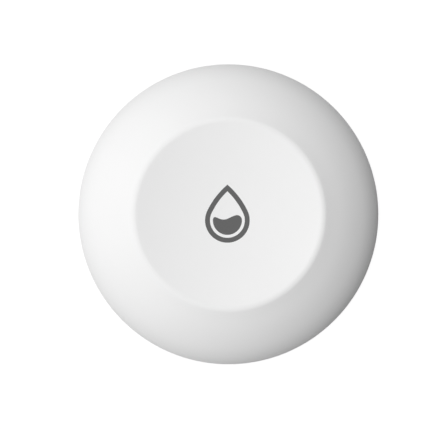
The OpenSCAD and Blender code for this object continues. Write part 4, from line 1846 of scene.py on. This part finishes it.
@dataclass
class Studio:
    """White floor in a light tent that is brighter on the left, a panel overhead and the camera above."""

    dome: DomeLine
    floor_half: float = 2000.0
    floor_z: float = -0.02
    floor_albedo: float = 0.3
    floor_glow: float = 0.8
    tent_level: float = 0.53
    tent_lean: float = 0.572
    tent_angle: float = 164.6
    image_px: float = 430.0
    body_px: float = 149.92
    shift_px: Point = (13.35, -0.72)
    lens: float = 300.0
    sensor: float = 36.0
    panel: Lamp = field(default_factory=lambda: Lamp("top_panel", height=1.0, width=0.4, radiance=8.95))

    def seen(self, wiring: Wiring) -> bpy.types.NodeSocket:
        """Tells the rays that see the white backdrop from those that carry the tent's light.

        Args:
            wiring: Tree of the floor or of the world.

        Returns:
            1 for rays of the camera, of gloss and through glass, and 0 for the rest.
        """
        path = wiring.add("LightPath").outputs
        seen = wiring.math("MAXIMUM", path["Is Camera Ray"], path["Is Glossy Ray"])
        return wiring.math("MAXIMUM", seen, path["Is Transmission Ray"])

    def floor_paper(self) -> bpy.types.Material:
        """Paper that looks white and takes the shadow, and is clear from below.

        Returns:
            The floor's material.
        """
        paper = bpy.data.materials.new("floor_paper")
        paper.use_nodes = True
        wiring = Wiring(paper.node_tree)
        matte = wiring.add("BsdfDiffuse")
        matte.inputs["Color"].default_value = (*grey(self.floor_albedo), 1.0)
        glow = wiring.add("Emission")
        wiring.join(wiring.math("MULTIPLY", self.seen(wiring), self.floor_glow), glow.inputs["Strength"])
        both = wiring.add("AddShader")
        wiring.join(matte.outputs["BSDF"], both.inputs[0])
        wiring.join(glow.outputs["Emission"], both.inputs[1])
        side = wiring.add("MixShader")
        wiring.join(wiring.add("NewGeometry").outputs["Backfacing"], side.inputs["Fac"])
        wiring.join(both.outputs["Shader"], side.inputs[1])
        wiring.join(wiring.add("BsdfTransparent").outputs["BSDF"], side.inputs[2])
        output = wiring.add("OutputMaterial")
        wiring.join(side.outputs["Shader"], output.inputs["Surface"])
        return paper

    def lay_floor(self) -> None:
        """Lays the floor, which lets the tent's light through from below."""
        half = self.floor_half
        corners = [(-half, -half), (half, -half), (half, half), (-half, half)]
        form = Form()
        form.faces.append(tuple(form.ring((x, y, self.floor_z) for x, y in corners)))
        floor = form.piece("floor")
        floor.data.materials.append(self.floor_paper())
        floor.visible_diffuse = False
        floor.visible_shadow = False

    def fill_room(self) -> None:
        """Lights the tent more from one side, behind a backdrop that looks white."""
        world = bpy.data.worlds.new("light_tent")
        world.use_nodes = True
        wiring = Wiring(world.node_tree)
        lean = wiring.add("VectorMath", operation="DOT_PRODUCT")
        wiring.join(wiring.add("TexCoord").outputs["Generated"], lean.inputs[0])
        lean.inputs[1].default_value = (*polar(self.tent_lean, self.tent_angle), 0.0)
        strength = wiring.math("ADD", lean.outputs["Value"], self.tent_level)
        tent, white = wiring.add("Background"), wiring.add("Background")
        for light in (tent, white):
            light.inputs["Color"].default_value = (*grey(1.0), 1.0)
        wiring.join(wiring.math("MAXIMUM", strength, 0.0), tent.inputs["Strength"])
        either = wiring.add("MixShader")
        wiring.join(self.seen(wiring), either.inputs["Fac"])
        wiring.join(tent.outputs["Background"], either.inputs[1])
        wiring.join(white.outputs["Background"], either.inputs[2])
        output = wiring.add("OutputWorld")
        wiring.join(either.outputs["Shader"], output.inputs["Surface"])
        bpy.context.scene.world = world

    def set_camera(self) -> None:
        """Sets the camera overhead, a little to the left of the sensor's axis."""
        scale = self.dome.body_r / self.body_px * MM
        distance = self.image_px * scale * self.lens / self.sensor
        data = bpy.data.cameras.new("overhead")
        data.lens = self.lens
        data.sensor_width = self.sensor
        camera = bpy.data.objects.new("overhead", data)
        aside, along = self.shift_px
        camera.location = (-aside * scale, along * scale, self.dome.parting_z * MM + distance)
        bpy.context.scene.collection.objects.link(camera)
        bpy.context.scene.camera = camera

    def build(self) -> None:
        """Sets up the whole studio."""
        bpy.context.scene.view_settings.view_transform = "Standard"
        self.lay_floor()
        self.fill_room()
        self.set_camera()
        self.panel.hang()


def main() -> None:
    """Builds and dresses the sensor, piece by piece, and sets up the studio."""
    logging.basicConfig(level=logging.INFO, format="%(name)s: %(message)s")
    dome, bay = DomeLine(), BatteryBay()
    groups: list[SubAssembly] = [
        UpperShell(dome),
        DishButton(dome),
        DropSymbol(dome),
        LowerShell(dome, bay),
        BatteryCover(bay),
        Probes(),
        Electronics(),
    ]
    for group in groups:
        group.build()
        group.dress()
    Studio(dome).build()


if __name__ == "__main__":
    main()
